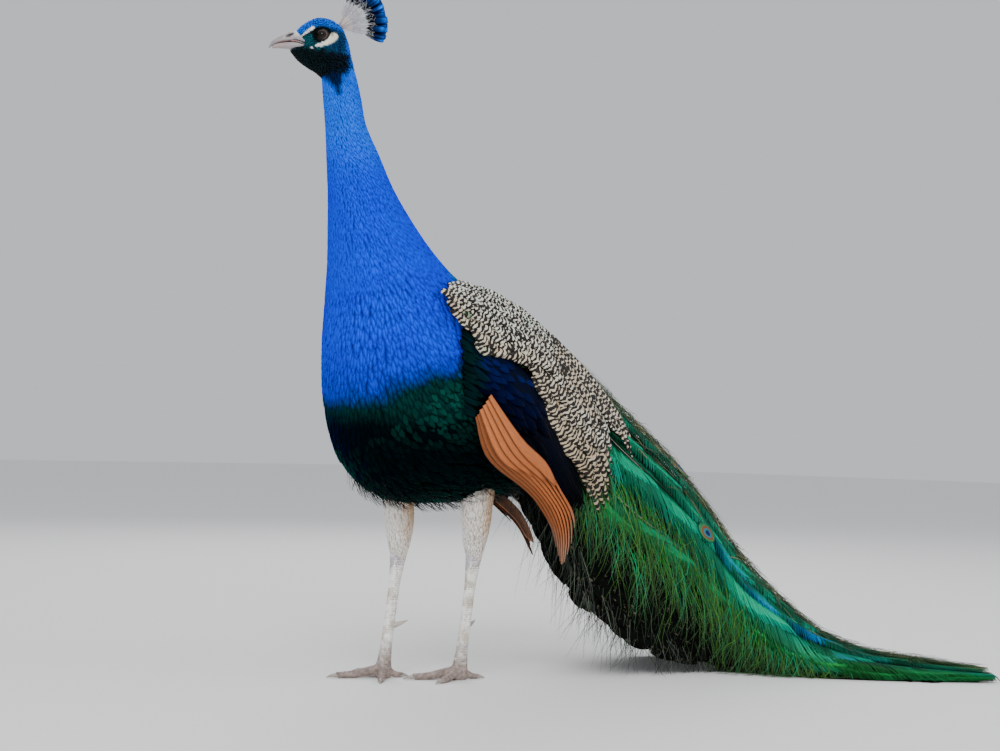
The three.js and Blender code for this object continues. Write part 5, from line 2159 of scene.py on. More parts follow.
    def slats(self, layer: str, v: Array, start: Array, end: Array, tint: Array, stops: int,
              fit: tuple[float, float, float, float], outline: tuple[float, ...]) -> None:
        """A row of rufous feathers.

        Args:
            layer: The layer's name.
            v: Place of each feather across the wing.
            start: Where each starts.
            end: Where each ends.
            tint: Colours of each feather at each stop.
            stops: Points along each feather.
            fit: Depth of the lowest, step from one to the next, breadth and tilt.
            outline: Shares of the breadth from root to tip.
        """
        drop, step, breadth, tilt = fit
        count = len(v)
        spine, side, up = self.run(self.primaries, v, start, end, stops, drop, step)
        tilt *= self.side.value
        slant = side * math.cos(tilt) + up * math.sin(tilt)
        above = up * math.cos(tilt) - side * math.sin(tilt)
        half = self.breadth(self.primaries, start, end, stops, self.primary_count, breadth) + 0.6
        root = 0.5 if layer == "primaries" else 0.15
        coat = Coat(spine, slant, above, half, tint, tied(np.full(count, root), v), 0.08)
        finish = Flight(f"rufous_{layer}_{self.name}", (0.42, 0.15, 0.06), (0.10, 0.030, 0.014),
            edge_from=0.88, gloss=0.2)
        weave(f"{layer}_{self.name}", coat, Cut(6, outline, 0.9, 0.2), self.rng, finish, Slot.RUFOUS)


# ---------------------------------------------------------------- train and tail


@dataclass(frozen=True)
class TrainColours:
    """Colours of the loose barbs by place on the train."""

    olive: Colour = (0.055, 0.085, 0.028)
    straw: Colour = (0.26, 0.23, 0.10)
    moss: Colour = (0.006, 0.050, 0.022)
    # root: dark green of the barbs near the shaft, painted shade under the arching barbs.
    root: Colour = (0.001, 0.045, 0.026)
    emerald: Colour = (0.001, 0.37, 0.18)
    turquoise: Colour = (0.0, 0.36, 0.27)
    blue: Colour = (0.001, 0.13, 0.70)
    grass: Colour = (0.035, 0.34, 0.020)
    dusk: Colour = (0.055, 0.11, 0.040)
    shade: Colour = (0.0012, 0.004, 0.002)
    gilt: Colour = (0.10, 0.24, 0.03)


@dataclass
class Lobes:
    """Satin feathers: for each, where its shaft runs, how far its barbs reach and how blue it is."""

    start: Array
    end: Array
    across: Array
    drift: Array
    reach: Array
    blue: Array
    height: Array

    def shaft(self, share: Array) -> tuple[Array, Array]:
        """Places of the shafts at shares of their length, one row for each."""
        u = self.start[:, None] + (self.end - self.start)[:, None] * share
        return u, self.across[:, None] + self.drift[:, None] * share


@dataclass
class Train(Maker):
    """The long train: satin lobes of close barbs, dark flanks, eyes, a loose ridge and hanging strands."""

    surface: TrainSurface = field(default_factory=TrainSurface)
    colours: TrainColours = field(default_factory=TrainColours)
    barb_gap: float = 1.75
    hidden_gap: float = 1.3
    shaft_stops: int = 14
    left_strands: int = 1950
    right_strands: int = 1000
    wisp_count: int = 1300
    ridge_count: int = 2400
    rng: Random = field(default_factory=lambda: np.random.default_rng(57))

    def build(self) -> None:
        """Builds every piece of the train."""
        self.under()
        self.flanks()
        self.satin()
        self.eyes()
        self.strands()
        self.ridge()

    @staticmethod
    def place(u: Array, v: Array) -> Array:
        """Places on the train's map."""
        return tied(0.02 + 0.96 * np.clip(u, 0, 1), 0.5 + 0.46 * np.clip(v, -1, 1))

    def under(self) -> None:
        """Black down under the whole train."""
        nodes = [f"train_{part}_{side}" for part in ("upper", "middle", "lower") for side in
            ("left", "right")]
        under_sheet("train_down", self.surface, (0.0, 0.985), (-0.995, 0.995), (0.002, 0.006, 0.004),
            Hide("train_down", grain=260.0, rough=0.9, depth=0.0010), Slot.TRAIN, *nodes, "train_end",
            height=-5.0, grid=(84, 52))

    def flanks(self) -> None:
        """Long black feathers with rows of pale specks, low on both flanks."""
        for side in Side:
            hem = -side.value
            u, v = rows_on(self.surface, (-0.03, 0.90), (0.44, 1.02), ((17, 20), (11, 12)), self.rng, 0.3)
            length = (74 - 36 * np.clip(u, 0, 1)) * self.vary(u, 0.85, 1.15)
            length = length * (1 - 0.4 * smooth(0.75, 1, v))
            lean = self.rng.normal(0.25, 0.10, len(u)) * smooth(1.05, 0.7, v)
            spine, side_way, up = laid(self.surface, u, v * hem, length, lean * hem, Lie(4.5, -0.8, 0.8, 7),
                raise_by=self.vary(u, -0.6, 0.6))
            spine[..., 2] = np.maximum(spine[..., 2], 1.6)
            tint = np.tile(np.array([0.002, 0.003, 0.002]), (len(u), 1)) * self.rng.uniform(0.5, 1.5,
                (len(u), 1))
            half = self.vary(u, 8.5, 11) * (1 - 0.25 * smooth(0.76, 0.98, v))
            coat = Coat(spine, side_way, up, half, tint, self.place(u, v * hem), 0.02)
            finish = Flight(f"speckled_black_{side.word}", (0.003, 0.003, 0.003), (0.001, 0.002, 0.001),
                edge_from=0.8, speck=(0.11, 0.09, 0.065), rough=0.7, gloss=0.04)
            weave(f"train_flank_{side.word}", coat, Cut(4, (0.6, 0.95, 1.0, 1.0, 0.85, 0.45), 0.6, 0.18),
                self.rng, finish, Slot.TRAIN)

    def lobes(self, hem: int) -> Lobes:
        """Sets out the satin feathers of one flank, from its lower rows to the ridge.

        Args:
            hem: -1 for the left flank, 1 for the right.

        Returns:
            The feathers, in the order that they cover each other.
        """
        rows = ((0.57, 48.0, 0.10, 0.20), (0.345, 76.0, 0.18, 0.32), (0.215, 34.0, 0.11, 0.20),
            (0.09, 28.0, 0.09, 0.18))
        kept = []
        for row, (across, reach, gap, span) in enumerate(rows):
            tiers = np.arange(-0.05 + 0.045 * (row % 2), 0.90, gap)
            for u in tiers + self.vary(tiers, -0.012, 0.012):
                long = span * self.rng.uniform(0.9, 1.1) * (1 - 0.3 * u)
                small = 1 - 0.45 * smooth(0.45, 0.9, u)
                blue = smooth(0.34, 0.46, u) * smooth(0.74, 0.62, u)
                blue = blue * self.rng.uniform(0.3, 1) * (row in (1, 2))
                height = 0.4 + 1.8 * row + 1.4 * (1 - u) + self.rng.uniform(-0.6, 0.6)
                kept.append((u, min(u + long, 0.995), hem * across, hem * self.rng.uniform(0.0, 0.06),
                    reach * small * self.rng.uniform(0.9, 1.1), blue, height))
        return Lobes(*np.array(kept).T)

    def satin(self) -> None:
        """Shafts and close smooth barbs of the satin lobes on both flanks."""
        finish = Herl("satin_barbs", metal=0.85, rough=0.40, uneven=0.16)
        shaft_finish = Plumage("train_shaft", metal=0.0, rough=0.42, root_shade=0.9, tip_highlight=0.9,
            pitch=0.05)
        for side in Side:
            lobes = self.lobes(-side.value)
            name = side.word
            u, v = lobes.shaft(steps(self.shaft_stops))
            normals = self.surface.normal(u, v)
            height = (lobes.height + 0.9)[:, None, None]
            spine, side_way, up = framed(self.surface.point(u, v) + normals * height, normals)
            pale = self.rng.random(len(u)) < 0.22
            tone = np.where(pale[:, None], (0.46, 0.43, 0.34), (0.020, 0.045, 0.022))
            shafts = Coat(spine, side_way, up, np.full(len(u), 0.8), tone,
                self.place(lobes.start, lobes.across), 0.01)
            weave(f"train_shafts_{name}", shafts, Cut(2, (1.2, 1.0, 0.8, 0.4), 1.4, 0.0), self.rng,
                shaft_finish, Slot.TRAIN)
            coats = [self.barbs(lobes, index, -side.value) for index in range(len(u))]
            half = len(coats) // 2
            for part, group in (("low", coats[:half]), ("high", coats[half:])):
                weave(f"satin_{part}_{name}", joined(group),
                    Cut(2, (0.8, 1.0, 0.95, 0.75, 0.3), 0.35, 0.15), self.rng, finish, Slot.TRAIN)

    def barbs(self, lobes: Lobes, index: int, hem: int) -> Coat:
        """Close barbs on both sides of one shaft, rounded over and tucked in at their ends.

        Args:
            lobes: The flank's feathers.
            index: Which of them.
            hem: -1 for the left flank, 1 for the right.

        Returns:
            The barbs.
        """
        run_u, run_v = lobes.shaft(steps(12))
        run = self.surface.point(run_u[index], run_v[index])
        gap = self.barb_gap * (1.0 if hem < 0 else self.hidden_gap)
        count = max(8, int(np.linalg.norm(np.diff(run, axis=0), axis=1).sum() / gap))
        share = np.concatenate([np.linspace(0.0, 1.0, count), np.linspace(0.05, 1.0, max(4, count // 2))])
        down = np.arange(len(share)) < count
        at_u, at_v = (row[index] for row in lobes.shaft(share))
        along, over = self.surface.slopes(at_u, at_v)
        reach = lobes.reach[index] * np.where(down, 1.0, 0.36) * (0.55 + 0.45 * np.sin(share * 2.6 + 0.35))
        reach = reach * self.vary(share, 0.94, 1.05)
        angle = np.radians(np.where(down, 66, 30) - 46 * share**2 * np.where(down, 1, 0.5) +
            self.rng.normal(0, 1.6, len(share)))
        way = np.where(down, hem, -hem)
        t = steps(5)
        step_u = reach * np.cos(angle) / np.maximum(np.linalg.norm(along, axis=-1), 200)
        step_v = way * reach * np.sin(angle) / np.maximum(np.linalg.norm(over, axis=-1), 50)
        u = at_u[:, None] + step_u[:, None] * (t + 0.25 * t**2)
        v = at_v[:, None] + step_v[:, None] * t
        normals = self.surface.normal(u, np.clip(v, -0.99, 0.99))
        rise = 6.5 * np.sin(math.pi * np.clip(t * 0.95, 0, 1)) - 10.0 * t**4
        lift = lobes.height[index] + np.where(down[:, None], rise, -0.6 * t)
        spine = self.surface.point(u, v) + normals * lift[..., None]
        spine[..., 2] = np.maximum(spine[..., 2], 1.2)
        spine, side_way, up = framed(spine, normals)
        colour = self.tint(u, v, share[:, None] * np.ones(5), t, lobes.blue[index])
        colour = colour * self.vary(share, 0.85, 1.12)[:, None, None]
        return Coat(spine, side_way, up, np.full(len(share), 1.2), colour, self.place(at_u, at_v))

    def tint(self, u: Array, v: Array, share: Array, t: Array, blue: float) -> Array:
        """Colours of a lobe's barbs, with painted shade near the shafts, under the lobe above and at the
        tucked-in ends.

        Args:
            u: Places along the train.
            v: Places across it.
            share: Places along the lobe's shaft.
            t: Places along the barbs.
            blue: How blue the lobe is.

        Returns:
            A linear colour for each place.
        """
        off = np.abs(v)
        # Barbs start dark by the shaft, painted shade, and turn emerald further out.
        tint = mixed(self.colours.root, self.colours.emerald, smooth(0.0, 0.35, t) * np.ones_like(u))
        tint = mixed(tint, self.colours.turquoise, smooth(0.35, 0.8, t) * smooth(0.2, 0.75, share))
        tint = mixed(tint, self.colours.blue, blue * smooth(0.2, 0.5, t) * smooth(0.15, 0.5, share) *
            smooth(1.0, 0.75, share))
        tint = mixed(tint, self.colours.grass, smooth(0.55, 0.68, off) * 0.7)
        tint = mixed(tint, self.colours.moss, smooth(0.27, 0.13, off) * 0.85)
        tint = mixed(tint, self.colours.gilt, smooth(0.82, 0.94, u) * smooth(0.5, 0.1, off) * 0.8)
        tint = tint * (1 - 0.45 * smooth(0.66, 0.92, u))[..., None]
        tint = mixed(tint, self.colours.shade, smooth(0.66, 0.44, share) * smooth(0.0, 0.2, t) * 0.62)
        return mixed(tint, self.colours.shade, smooth(0.74, 1.0, t) * 0.85)

    def eyes(self) -> None:
        """Eye feathers: a few in sight on the left flank, more over the ridge and the right flank."""
        spots = np.array([(0.185, -0.30), (0.435, -0.36), (0.12, 0.12), (0.20, 0.42), (0.28, 0.14),
            (0.31, 0.60), (0.40, 0.22), (0.43, 0.52), (0.52, 0.10), (0.56, 0.42), (0.64, 0.20),
            (0.72, 0.40), (0.34, -0.05), (0.80, 0.10), (0.16, 0.72)])
        u, v = spots[:, 0], spots[:, 1]
        length = self.vary(u, 32, 38)
        spine, side, up = laid(self.surface, u, v, length, self.rng.normal(0, 0.1, len(u)),
            Lie(-11.0, 12.0, 0.8, 14))
        coat = Coat(spine, side, up, length * 0.34, np.full((len(u), 3), 0.5), self.place(u, v), 0.045)
        weave("train_eyes", coat, Cut(12, (0.35, 0.78, 0.96, 1.0, 0.97, 0.82, 0.3), 0.6, 0.12), self.rng,
            Ocellus("train_eye"), Slot.TRAIN)

    def strands(self) -> None:
        """Long thin strands that hang and curl from the lobes over both dark flanks."""
        self.hanging(Side.LEFT, self.left_strands)
        self.hanging(Side.RIGHT, self.right_strands)
        self.wisps()

    def hanging(self, side: Side, count: int) -> None:
        """Hanging strands of one flank.

        Args:
            side: Which flank.
            count: How many strands.
        """
        stops, hem = 8, -side.value
        u = self.rng.uniform(0.0, 0.90, count)
        v = hem * self.rng.uniform(0.36, 0.74, count)
        t = steps(stops)
        root = self.surface.point(u, v)
        normals = self.surface.normal(u, v)
        flow = unit(self.surface.slopes(u, v)[0])
        length = self.rng.uniform(30, 125, count) * smooth(-10, 70, root[:, 2])
        length = np.maximum(length, 14)
        start = unit(flow * 0.25 - UPWARD * 0.7 + normals * 0.3 + self.rng.normal(0, 0.12, (count, 3)))
        fall = unit(flow * self.rng.uniform(-0.75, 0.35, count)[:, None] - UPWARD + normals * 0.12)
        way = start[:, None] * (1 - t)[None, :, None] + fall[:, None] * t[None, :, None]
        step = unit(way) * (length / (stops - 1))[:, None, None]
        spine = root[:, None] + normals[:, None] * 3.0 + np.cumsum(step, axis=1) - step[:, :1]
        curl = (flow * self.rng.normal(-0.4, 1.2, count)[:, None] +
            normals * self.rng.uniform(0, 0.3, count)[:, None])
        wave = np.sin(t * 2.6) * t**1.5 + 0.25 * np.sin(t * 7 + self.rng.uniform(0, 6, (count, 1))) * t
        spine = spine + curl[:, None] * (length[:, None] * 0.20 * wave)[..., None]
        spine[..., 2] = np.maximum(spine[..., 2], 1.2 + 3.0 * self.rng.random((count, 1)))
        spine, aside, up = framed(spine, np.broadcast_to(normals[:, None], spine.shape))
        chance = self.rng.random((count, 1))
        tint = mixed(mixed(self.colours.grass, self.colours.emerald, smooth(0.5, 0.1, chance)),
            self.colours.dusk, smooth(0.2, 1.0, t * 0.8 + 0.6 * chance))
        # About one strand in ten painted bright yellow-green, a painted highlight on its curls.
        tint = mixed(tint, (0.13, 0.36, 0.03), smooth(0.88, 0.96, chance) * np.ones(stops) * 0.8)
        tint = tint * self.rng.uniform(0.6, 1.5, (count, 1, 1))
        name = side.word
        weave(f"hanging_strands_{name}", Coat(spine, aside, up, self.rng.uniform(0.25, 0.42, count), tint,
            self.place(u, v)), Cut(2, (1.0, 1.0, 0.8, 0.35), 0.35, 0.0), self.rng,
            Herl(f"hanging_strand_{name}", metal=0.7), Slot.TRAIN)

    def wisps(self) -> None:
        """Short dark wisps along the lowest edge of both flanks."""
        count = self.wisp_count
        hem = np.where(self.rng.random(count) < 0.65, -1, 1)
        u, v = self.rng.uniform(0.0, 0.62, count), hem * self.rng.uniform(0.86, 1.0, count)
        t = steps(5)
        root = self.surface.point(u, v) - self.surface.normal(u, v) * 4.0
        flow = unit(self.surface.slopes(u, v)[0])
        way = unit(flow * self.rng.uniform(-0.5, 0.5, count)[:, None] - UPWARD +
            self.rng.normal(0, 0.2, (count, 3)))
        reach = self.rng.uniform(14, 58, count) * (1 + 1.1 * smooth(0.45, 0.1, u) * self.rng.random(count))
        length = reach[:, None] * t
        spine = root[:, None] + way[:, None] * length[..., None]
        spine[..., 2] = np.maximum(spine[..., 2], 1.0)
        normals = np.broadcast_to(self.surface.normal(u, v)[:, None], spine.shape)
        spine, side, up = framed(spine, normals)
        tint = mixed((0.002, 0.008, 0.006), (0.15, 0.18, 0.13), self.rng.random(count) ** 2)
        weave("flank_wisps", Coat(spine, side, up, np.full(count, 0.32), tint, self.place(u, v)),
            Cut(2, (1.0, 1.0, 0.8, 0.3), 0.35, 0.0), self.rng, Herl("flank_wisp", metal=0.2, rough=0.6),
            Slot.TRAIN)

    def ridge(self) -> None:
        """Loose olive and straw strands that stray over the ridge."""
        count = self.ridge_count
        u = self.rng.uniform(-0.02, 0.97, count)
        v = self.rng.normal(0.0, 0.115, count)
        length = self.rng.uniform(22, 58, count) * (1 - 0.35 * u)
        stray = self.rng.random(count) ** 3
        spine, side, up = laid(self.surface, u, v, length, self.rng.normal(0, 0.16 + 0.3 * stray, count),
            Lie(-8.0, 9.5, 1.5, 6), raise_by=self.rng.uniform(-2.0, 1, count) + 9 * stray)
        chance = self.rng.random(count)
        tint = mixed(self.colours.olive, self.colours.straw, smooth(0.75, 1.0, chance))
        tint = mixed(tint, self.colours.moss, smooth(0.65, 0.2, chance))
        weave("ridge_strands", Coat(spine, side, up, np.full(count, 0.55), tint, self.place(u, v)),
            Cut(2, (1.0, 1.0, 0.8, 0.3), 0.4, 0.0), self.rng, Herl("ridge_strand", metal=0.35), Slot.TRAIN)


@dataclass
class Tail(Maker):
    """The fan of stiff dark feathers that holds the train up."""

    count: int = 16
    surface: TailSurface = field(default_factory=TailSurface)
    rng: Random = field(default_factory=lambda: np.random.default_rng(71))

    def build(self) -> None:
        """Builds the fan."""
        v = np.linspace(0.02, 0.98, self.count)
        t = steps(12)
        end = 0.93 + 0.06 * np.sin(v * math.pi) + self.rng.uniform(-0.03, 0.01, self.count)
        at_u = end[:, None] * t
        at_v = np.broadcast_to(v[:, None], at_u.shape)
        normals = self.surface.normal(at_u, at_v)
        height = np.where(np.arange(self.count) % 2 == 0, 0.3, -0.9)[:, None] * np.ones(12)
        spine, side, up = framed(self.surface.point(at_u, at_v) + normals * height[..., None], normals)
        whole = np.linalg.norm(self.surface.point(at_u, np.zeros_like(at_u)) -
            self.surface.point(at_u, np.ones_like(at_u)), axis=-1)
        half = np.maximum(whole / self.count * 0.95, 4)
        tint = np.tile(np.array([0.006, 0.005, 0.004]), (self.count, 1))
        coat = Coat(spine, side, up, half, tint, tied(np.full(self.count, 0.5), v), 0.055)
        finish = Flight("black_brown_tail", (0.05, 0.04, 0.03), (0.012, 0.010, 0.008), edge_from=0.9,
            speck=(0.20, 0.16, 0.11), rough=0.6, gloss=0.1)
        weave("tail_fan", coat, Cut(6, (0.9, 1.0, 1.0, 1.0, 0.95, 0.9, 0.8, 0.3), 0.9, 0.14), self.rng,
            finish, Slot.TAIL, "tail")


# ---------------------------------------------------------------- legs


class LimbSurface(Surface):
    """A limb as stations of middle point and half sizes, read from its top down."""

    def __init__(self, stations: list[tuple[float, ...]]) -> None:
        """Keeps x, y, z, half size along the bird and half size across it."""
        self.stations = np.array(stations, float)

    def point(self, u: Array, v: Array) -> Array:
        """Points round the limb; v is the angle from its rear.

        Args:
            u: Places along the lie.
            v: Places across it.

        Returns:
            The points.
        """
        row = blend(self.stations, u)
        return tied(row[..., 0] + np.cos(v) * row[..., 3], row[..., 1] + np.sin(v) * row[..., 4],
            row[..., 2])


@dataclass
class Leg(Maker):
    """One leg: feathered thigh, scaled shank and toes, spur and claws."""

    side: Side
    foot_height: float = 23.0
    hock_height: float = 167.0
    hock_behind: float = 18.0
    foot_turn: float = math.radians(20)
    spur_height: float = 68.0
    spur_length: float = 19.0

    def __post_init__(self) -> None:
        """Sets the leg's place and its surfaces."""
        left = self.side is Side.LEFT
        self.name = self.side.word
        self.sign = self.side.value
        self.foot = np.array([52.0, -27.0, 0.0]) if left else np.array([-34.0, 27.0, 0.0])
        self.rng = np.random.default_rng(83 + self.sign)
        x, y = self.foot[0] + self.hock_behind, self.foot[1]
        s, h = self.sign, self.hock_height
        self.thigh = LimbSurface([(x - 2, y - s * 9, 300, 30, 27), (x, y - s * 7, 268, 26, 24),
                                  (x, y - s * 5, h + 70, 22, 20.5), (x + 1, y - s * 2, h + 38, 19.5, 18),
                                  (x, y, h + 12, 15.5, 14.5), (x, y, h - 6, 10.5, 10)])
        shin = [(1.03, 11, 10), (0.96, 11, 9.4), (0.88, 9.6, 8.2), (0.7, 7.4, 6.6), (0.52, 7.2, 6.5),
            (0.35, 7, 6.4), (0.2, 7.2, 6.9), (0.1, 7.6, 7.6), (-0.03, 9.4, 10)]
        self.shank = LimbSurface([(*self.on_shank(f), long, wide) for f, long, wide in shin])

    def on_shank(self, share: float) -> Array:
        """A point on the shank's middle line, from the foot to the hock.

        Args:
            share: Share of the way up.

        Returns:
            The point.
        """
        low = self.foot + UPWARD * self.foot_height
        high = np.array([self.foot[0] + self.hock_behind, self.foot[1], self.hock_height])
        return low + (high - low) * share

    def build(self) -> None:
        """Builds every piece of the leg."""
        self.thigh_feathers()
        self.scales()
        self.toes()
        self.spur()

    def thigh_feathers(self) -> None:
        """Soft cream feathers down to the hock."""
        u, v = rows_on(self.thigh, (-0.02, 0.93), (0, TURN), ((5.5, 4.6), (4.2, 3.4)), self.rng)
        length = (20 - 7 * u) * self.vary(u, 0.85, 1.15)
        spine, side, up = laid(self.thigh, u, v, length, self.rng.normal(0, 0.15, len(u)),
            Lie(0.7, 0.2, 0.1), raise_by=self.vary(u, -0.08, 0.1))
        inner = smooth(-0.7, 0.5, np.cos(v)) * smooth(0.9, 0.4, u) * 0.9
        stain = np.clip(inner + 0.2 * lumps(spine[:, 1], 12, 2), 0, 1)
        colour = mixed(Markings.thigh, Markings.buff, stain)
        dark = smooth(236, 262, spine[:, 2, 2] + 10 * (lumps(spine[:, 1], 9, 5) - 0.5))
        colour = mixed(colour, (0.05, 0.04, 0.032), dark)
        coat = Coat(spine, side, up, (4.0 - 1.2 * u), colour, tied(u, v / TURN))
        weave(f"thigh_feathers_{self.name}", coat, Cut(2, (0.8, 1.0, 0.95, 0.5), 0.22, 0.14), self.rng,
            Plumage(f"cream_down_{self.name}", metal=0.0, rough=0.75, root_shade=0.95, tip_highlight=1.05,
            edge_shade=1.0, pitch=0.05, spread=0.05, patchy=0.1), Slot.THIGH)

    def scales(self) -> None:
        """Broad plates down the front of the shank and small scales round its sides and back."""
        u, v = rows_on(self.shank, (0.03, 0.98), (-2.25, 2.25), ((3.1, 3.0), (3.1, 3.0)), self.rng, 0.12)
        spine, side, up = laid(self.shank, u, v, np.full(len(u), 3.5), np.zeros(len(u)),
            Lie(0.25, 0.4, 0.15, 3))
        colour = Markings().shank(spine[:, 0]) * self.rng.uniform(0.75, 1.08, (len(u), 1))
        place = tied(u, v / TURN + 0.5)
        finish = Hide(f"leg_scales_{self.name}", grain=700.0, rough=0.5, depth=0.0003)
        weave(f"shank_scales_{self.name}", Coat(spine, side, up, np.full(len(u), 1.6), colour, place),
            Cut(2, (0.75, 1.0, 0.7), 0.5, 0.15), self.rng, finish, Slot.LEG)
        u = np.linspace(0.02, 0.95, 20)
        v = np.full(20, math.pi) + self.rng.normal(0, 0.04, 20)
        spine, side, up = laid(self.shank, u, v, np.full(20, 8.6), np.zeros(20), Lie(0.3, 0.7, 0.3, 5))
        colour = Markings().shank(spine[:, 0]) * self.rng.uniform(0.68, 1.05, (20, 1))
        place = tied(u, np.full(20, 0.02))
        half = blend(self.shank.stations, u)[:, 4] * 0.92
        weave(f"shank_plates_{self.name}", Coat(spine, side, up, half, colour, place, 0.02),
            Cut(8, (0.85, 1.0, 0.9, 0.6), 0.7, 0.75), self.rng, Hide(f"leg_plates_{self.name}", grain=500.0,
            rough=0.45, depth=0.0003), Slot.LEG)

    def toe_ways(self) -> list[tuple[str, Array, float, float, float, float]]:
        """Each toe's name, direction, length, half sizes at root and tip, and claw length.

        Returns:
            One row for each toe.
        """
        toes = [("middle", 0, 60, 6.6, 4.2, 15), ("inner", -78, 42, 6, 4, 13), ("outer", 48, 45, 6, 4, 13),
            ("hind", 176, 24, 5, 3.4, 10)]
        made = []
        for name, turn, length, root, tip, claw in toes:
            turned = 1 if name in ("middle", "hind") else -self.sign
            heading = self.foot_turn + math.radians(turn * turned)
            way = np.array([-math.cos(heading), math.sin(heading), 0.0])
            made.append((name, way, length, root, tip, claw))
        return made

    def toes(self) -> None:
        """Plates over each toe, and the claws."""
        ball = self.foot + np.array([-1.0, 0, 0])
        plates = []
        for name, way, length, root, tip, claw in self.toe_ways():
            low = tip - 0.5
            far = np.array([3, length * 0.35, length * 0.7, length])
            height = np.array([12, 8.4, low + 0.9, low])
            size = np.array([root, root - 0.5, tip + 0.55, tip - 0.1])
            begin = np.arange(5, length - 2, 3.3)
            t = steps(4)
            run = begin[:, None] + 4.6 * t
            middle = ball + way * run[..., None] + UPWARD * np.interp(run, far, height)[..., None]
            middle[..., 2] = np.interp(run, far, height)
            radius = np.interp(run, far, size)
            spine = middle + UPWARD * (radius + (-0.2 + 0.6 * t))[..., None]
            made, side, up = framed(spine, np.broadcast_to(UPWARD, spine.shape))
            colour = np.array(Markings.foot) * self.rng.uniform(0.75, 1.5, (len(begin), 1))
            place = tied(begin / 70, np.full(len(begin), 0.1 + 0.2 * len(plates)))
            plates.append(Coat(made, side, up, radius[:, 0] * 0.95, colour, place, 0.02))
            self.claw(name, ball, way, length, low, claw)
        weave(f"toe_plates_{self.name}", joined(plates), Cut(8, (0.9, 1.0, 0.95, 0.7), 0.6, 0.72), self.rng,
            Hide(f"toe_plates_{self.name}", grain=420.0, rough=0.55, depth=0.0008), Slot.LEG)

    def claw(self, name: str, ball: Array, way: Array, length: float, low: float, claw: float) -> None:
        """A curved tapering claw.

        Args:
            name: The toe's name.
            ball: The middle of the foot.
            way: The toe's direction.
            length: The toe's length.
            low: Height of the toe's tip.
            claw: The claw's length.
        """
        t = steps(18)
        out = length - 2.5 + (claw + 3.4) * t
        height = low + 0.7 * np.sin(t * math.pi * 0.9) - (low - 0.9) * t**2.2
        path = np.broadcast_to(ball, (18, 3)) + way * out[:, None]
        path[:, 2] = height
        size = 2.85 * (1 - t**1.6) + 0.35
        rings = tube_rings(path, size * 0.85, size, UPWARD, 16)
        rings[..., 2] = np.maximum(rings[..., 2], 0.15)
        tone = np.interp(t, [0, 0.4, 1], [0.34, 0.36, 0.26])[:, None, None]
        loft(f"claw_horn_{name}_{self.name}", rings, tone * np.array([1.0, 0.88, 0.78]),
            Horn(f"claw_horn_{name}_{self.name}", rough=0.4, stretch=(10.0, 1.0)), Slot.CLAW,
            f"claw_{name}_{self.name}")

    def spur(self) -> None:
        """A short pointed spur behind the shank."""
        share = (self.spur_height - self.foot_height) / (self.hock_height - self.foot_height)
        way = unit(np.array([0.86, self.sign * 0.42, 0.2]))
        t = steps(16)
        path = (self.on_shank(share) + way * (2 + (5 + self.spur_length) * t)[:, None] +
            UPWARD * (2.6 * t**2)[:, None])
        size = 4.4 * (1 - t**1.3) + 0.4
        rings = tube_rings(path, size, size, UPWARD, 18)
        tone = np.interp(t, [0, 0.5, 1], [0.50, 0.46, 0.36])[:, None, None]
        loft(f"spur_horn_{self.name}", rings, tone * np.array([1.0, 0.9, 0.8]),
            Horn(f"spur_horn_{self.name}", rough=0.4, stretch=(8.0, 1.0)), Slot.CLAW, f"spur_{self.name}")


# ---------------------------------------------------------------- studio


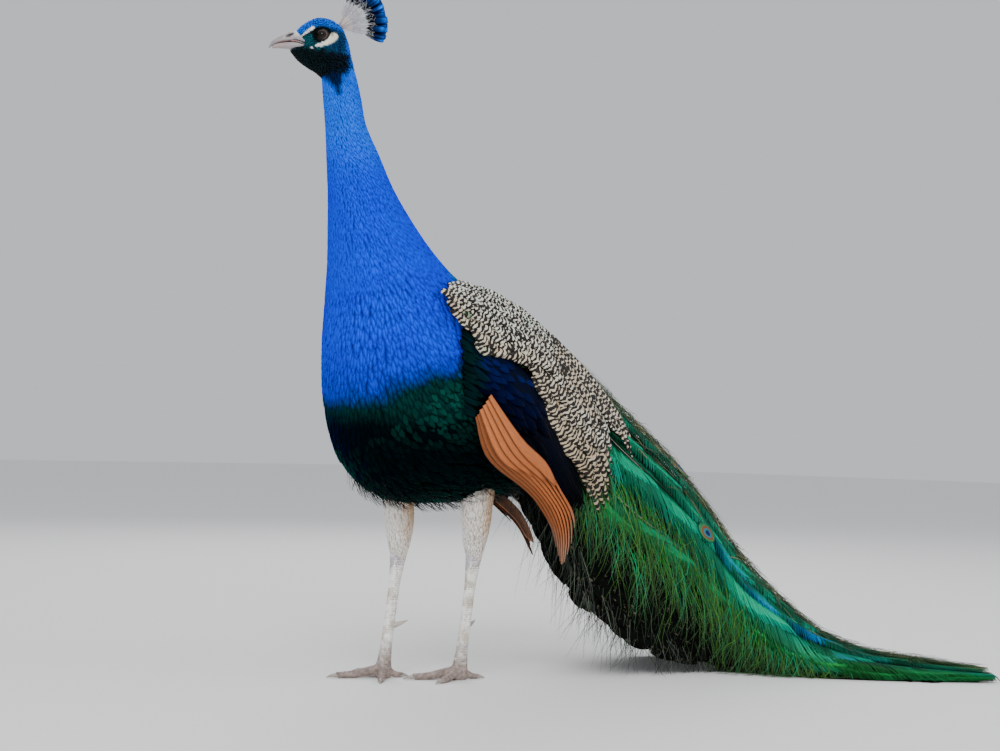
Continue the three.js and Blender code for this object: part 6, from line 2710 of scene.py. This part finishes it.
@dataclass
class Studio:
    """A pale floor, soft lights and the camera."""

    lens: float = 52.02
    camera_at: tuple[float, float, float] = (-940.4, -1700.0, 306.1)
    yaw: float = math.radians(32)
    pitch: float = math.atan2(450 - 375.5, 1445)
    roll: float = math.radians(1.2)

    def build(self) -> None:
        """Builds floor, world, lights and camera."""
        self.floor()
        self.world()
        self.lamp("key", (-1.9, -2.2, 2.6), (0.0, 0.05, 0.45), 2.2, 94)
        self.lamp("fill", (2.3, -1.9, 1.5), (0.1, 0.0, 0.35), 2.4, 30)
        self.lamp("back", (0.8, 2.4, 2.4), (0.0, 0.0, 0.4), 2.0, 38)
        self.camera()

    def floor(self) -> None:
        """A wide floor at the height of the soles."""
        bpy.ops.mesh.primitive_plane_add(size=30, location=(0, 6, 0))
        made = bpy.context.object
        made.name = "studio_floor"
        made.data.materials.append(PaleFloor("pale_floor").material())

    def world(self) -> None:
        """An even pale surround."""
        world = bpy.data.worlds.new("soft_surround")
        world.use_nodes = True
        shade = world.node_tree.nodes["Background"]
        shade.inputs[0].default_value = (0.86, 0.88, 0.92, 1.0)
        shade.inputs[1].default_value = 0.76
        bpy.context.scene.world = world

    def lamp(self, name: str, at: tuple[float, float, float], target: tuple[float, float, float], size: float,
             power: float) -> None:
        """A large square soft light that faces a point.

        Args:
            name: The lamp's name.
            at: Its place.
            target: The point that it faces.
            size: Its width.
            power: Its power in watts.
        """
        light = bpy.data.lights.new(name, "AREA")
        light.shape = "SQUARE"
        light.size = size
        light.energy = power
        back = unit(np.array(at) - np.array(target))
        self.point_at(linked(name, light), np.array(at), back, UPWARD)

    @staticmethod
    def point_at(made: Piece, at: Array, back: Array, up: Array) -> None:
        """Places an object with its -Z axis away from back and its Y axis near up.

        Args:
            made: The object.
            at: Its place.
            back: The direction behind it.
            up: Roughly upwards.
        """
        right = unit(np.cross(up, back))
        over = np.cross(back, right)
        columns = np.stack([right, over, back, at], axis=1)
        made.matrix_world = Matrix([*columns.tolist(), [0.0, 0.0, 0.0, 1.0]])

    def camera(self) -> None:
        """The camera, level with the breast, a little rolled."""
        lens = bpy.data.cameras.new("camera")
        lens.lens = self.lens
        lens.sensor_width = 36.0
        lens.clip_start, lens.clip_end = 0.05, 100.0
        made = linked("camera", lens)
        level = np.array([math.sin(self.yaw), math.cos(self.yaw), 0.0])
        ahead = level * math.cos(self.pitch) + UPWARD * math.sin(self.pitch)
        right = np.array([math.cos(self.yaw), -math.sin(self.yaw), 0.0])
        over = np.cross(right, ahead)
        tilted = over * math.cos(self.roll) - right * math.sin(self.roll)
        self.point_at(made, placed(np.array(self.camera_at)), -ahead, tilted)
        bpy.context.scene.camera = made


def corners(box: tuple[object, object]) -> list[list[float]]:
    """Turns the two corners of a box into plain lists."""
    return [[float(value) for value in corner] for corner in box]


def main() -> None:
    """Builds the peacock and the studio."""
    logging.basicConfig(level=logging.INFO, format="%(message)s")
    markings = Markings()
    Skin(markings).build()
    BodyCoat(markings).build()
    Head(markings).build()
    Crest().build()
    for side in Side:
        Wing(side).build()
        Leg(side).build()
    Train().build()
    Tail().build()
    Studio().build()


if __name__ == "__main__":
    main()
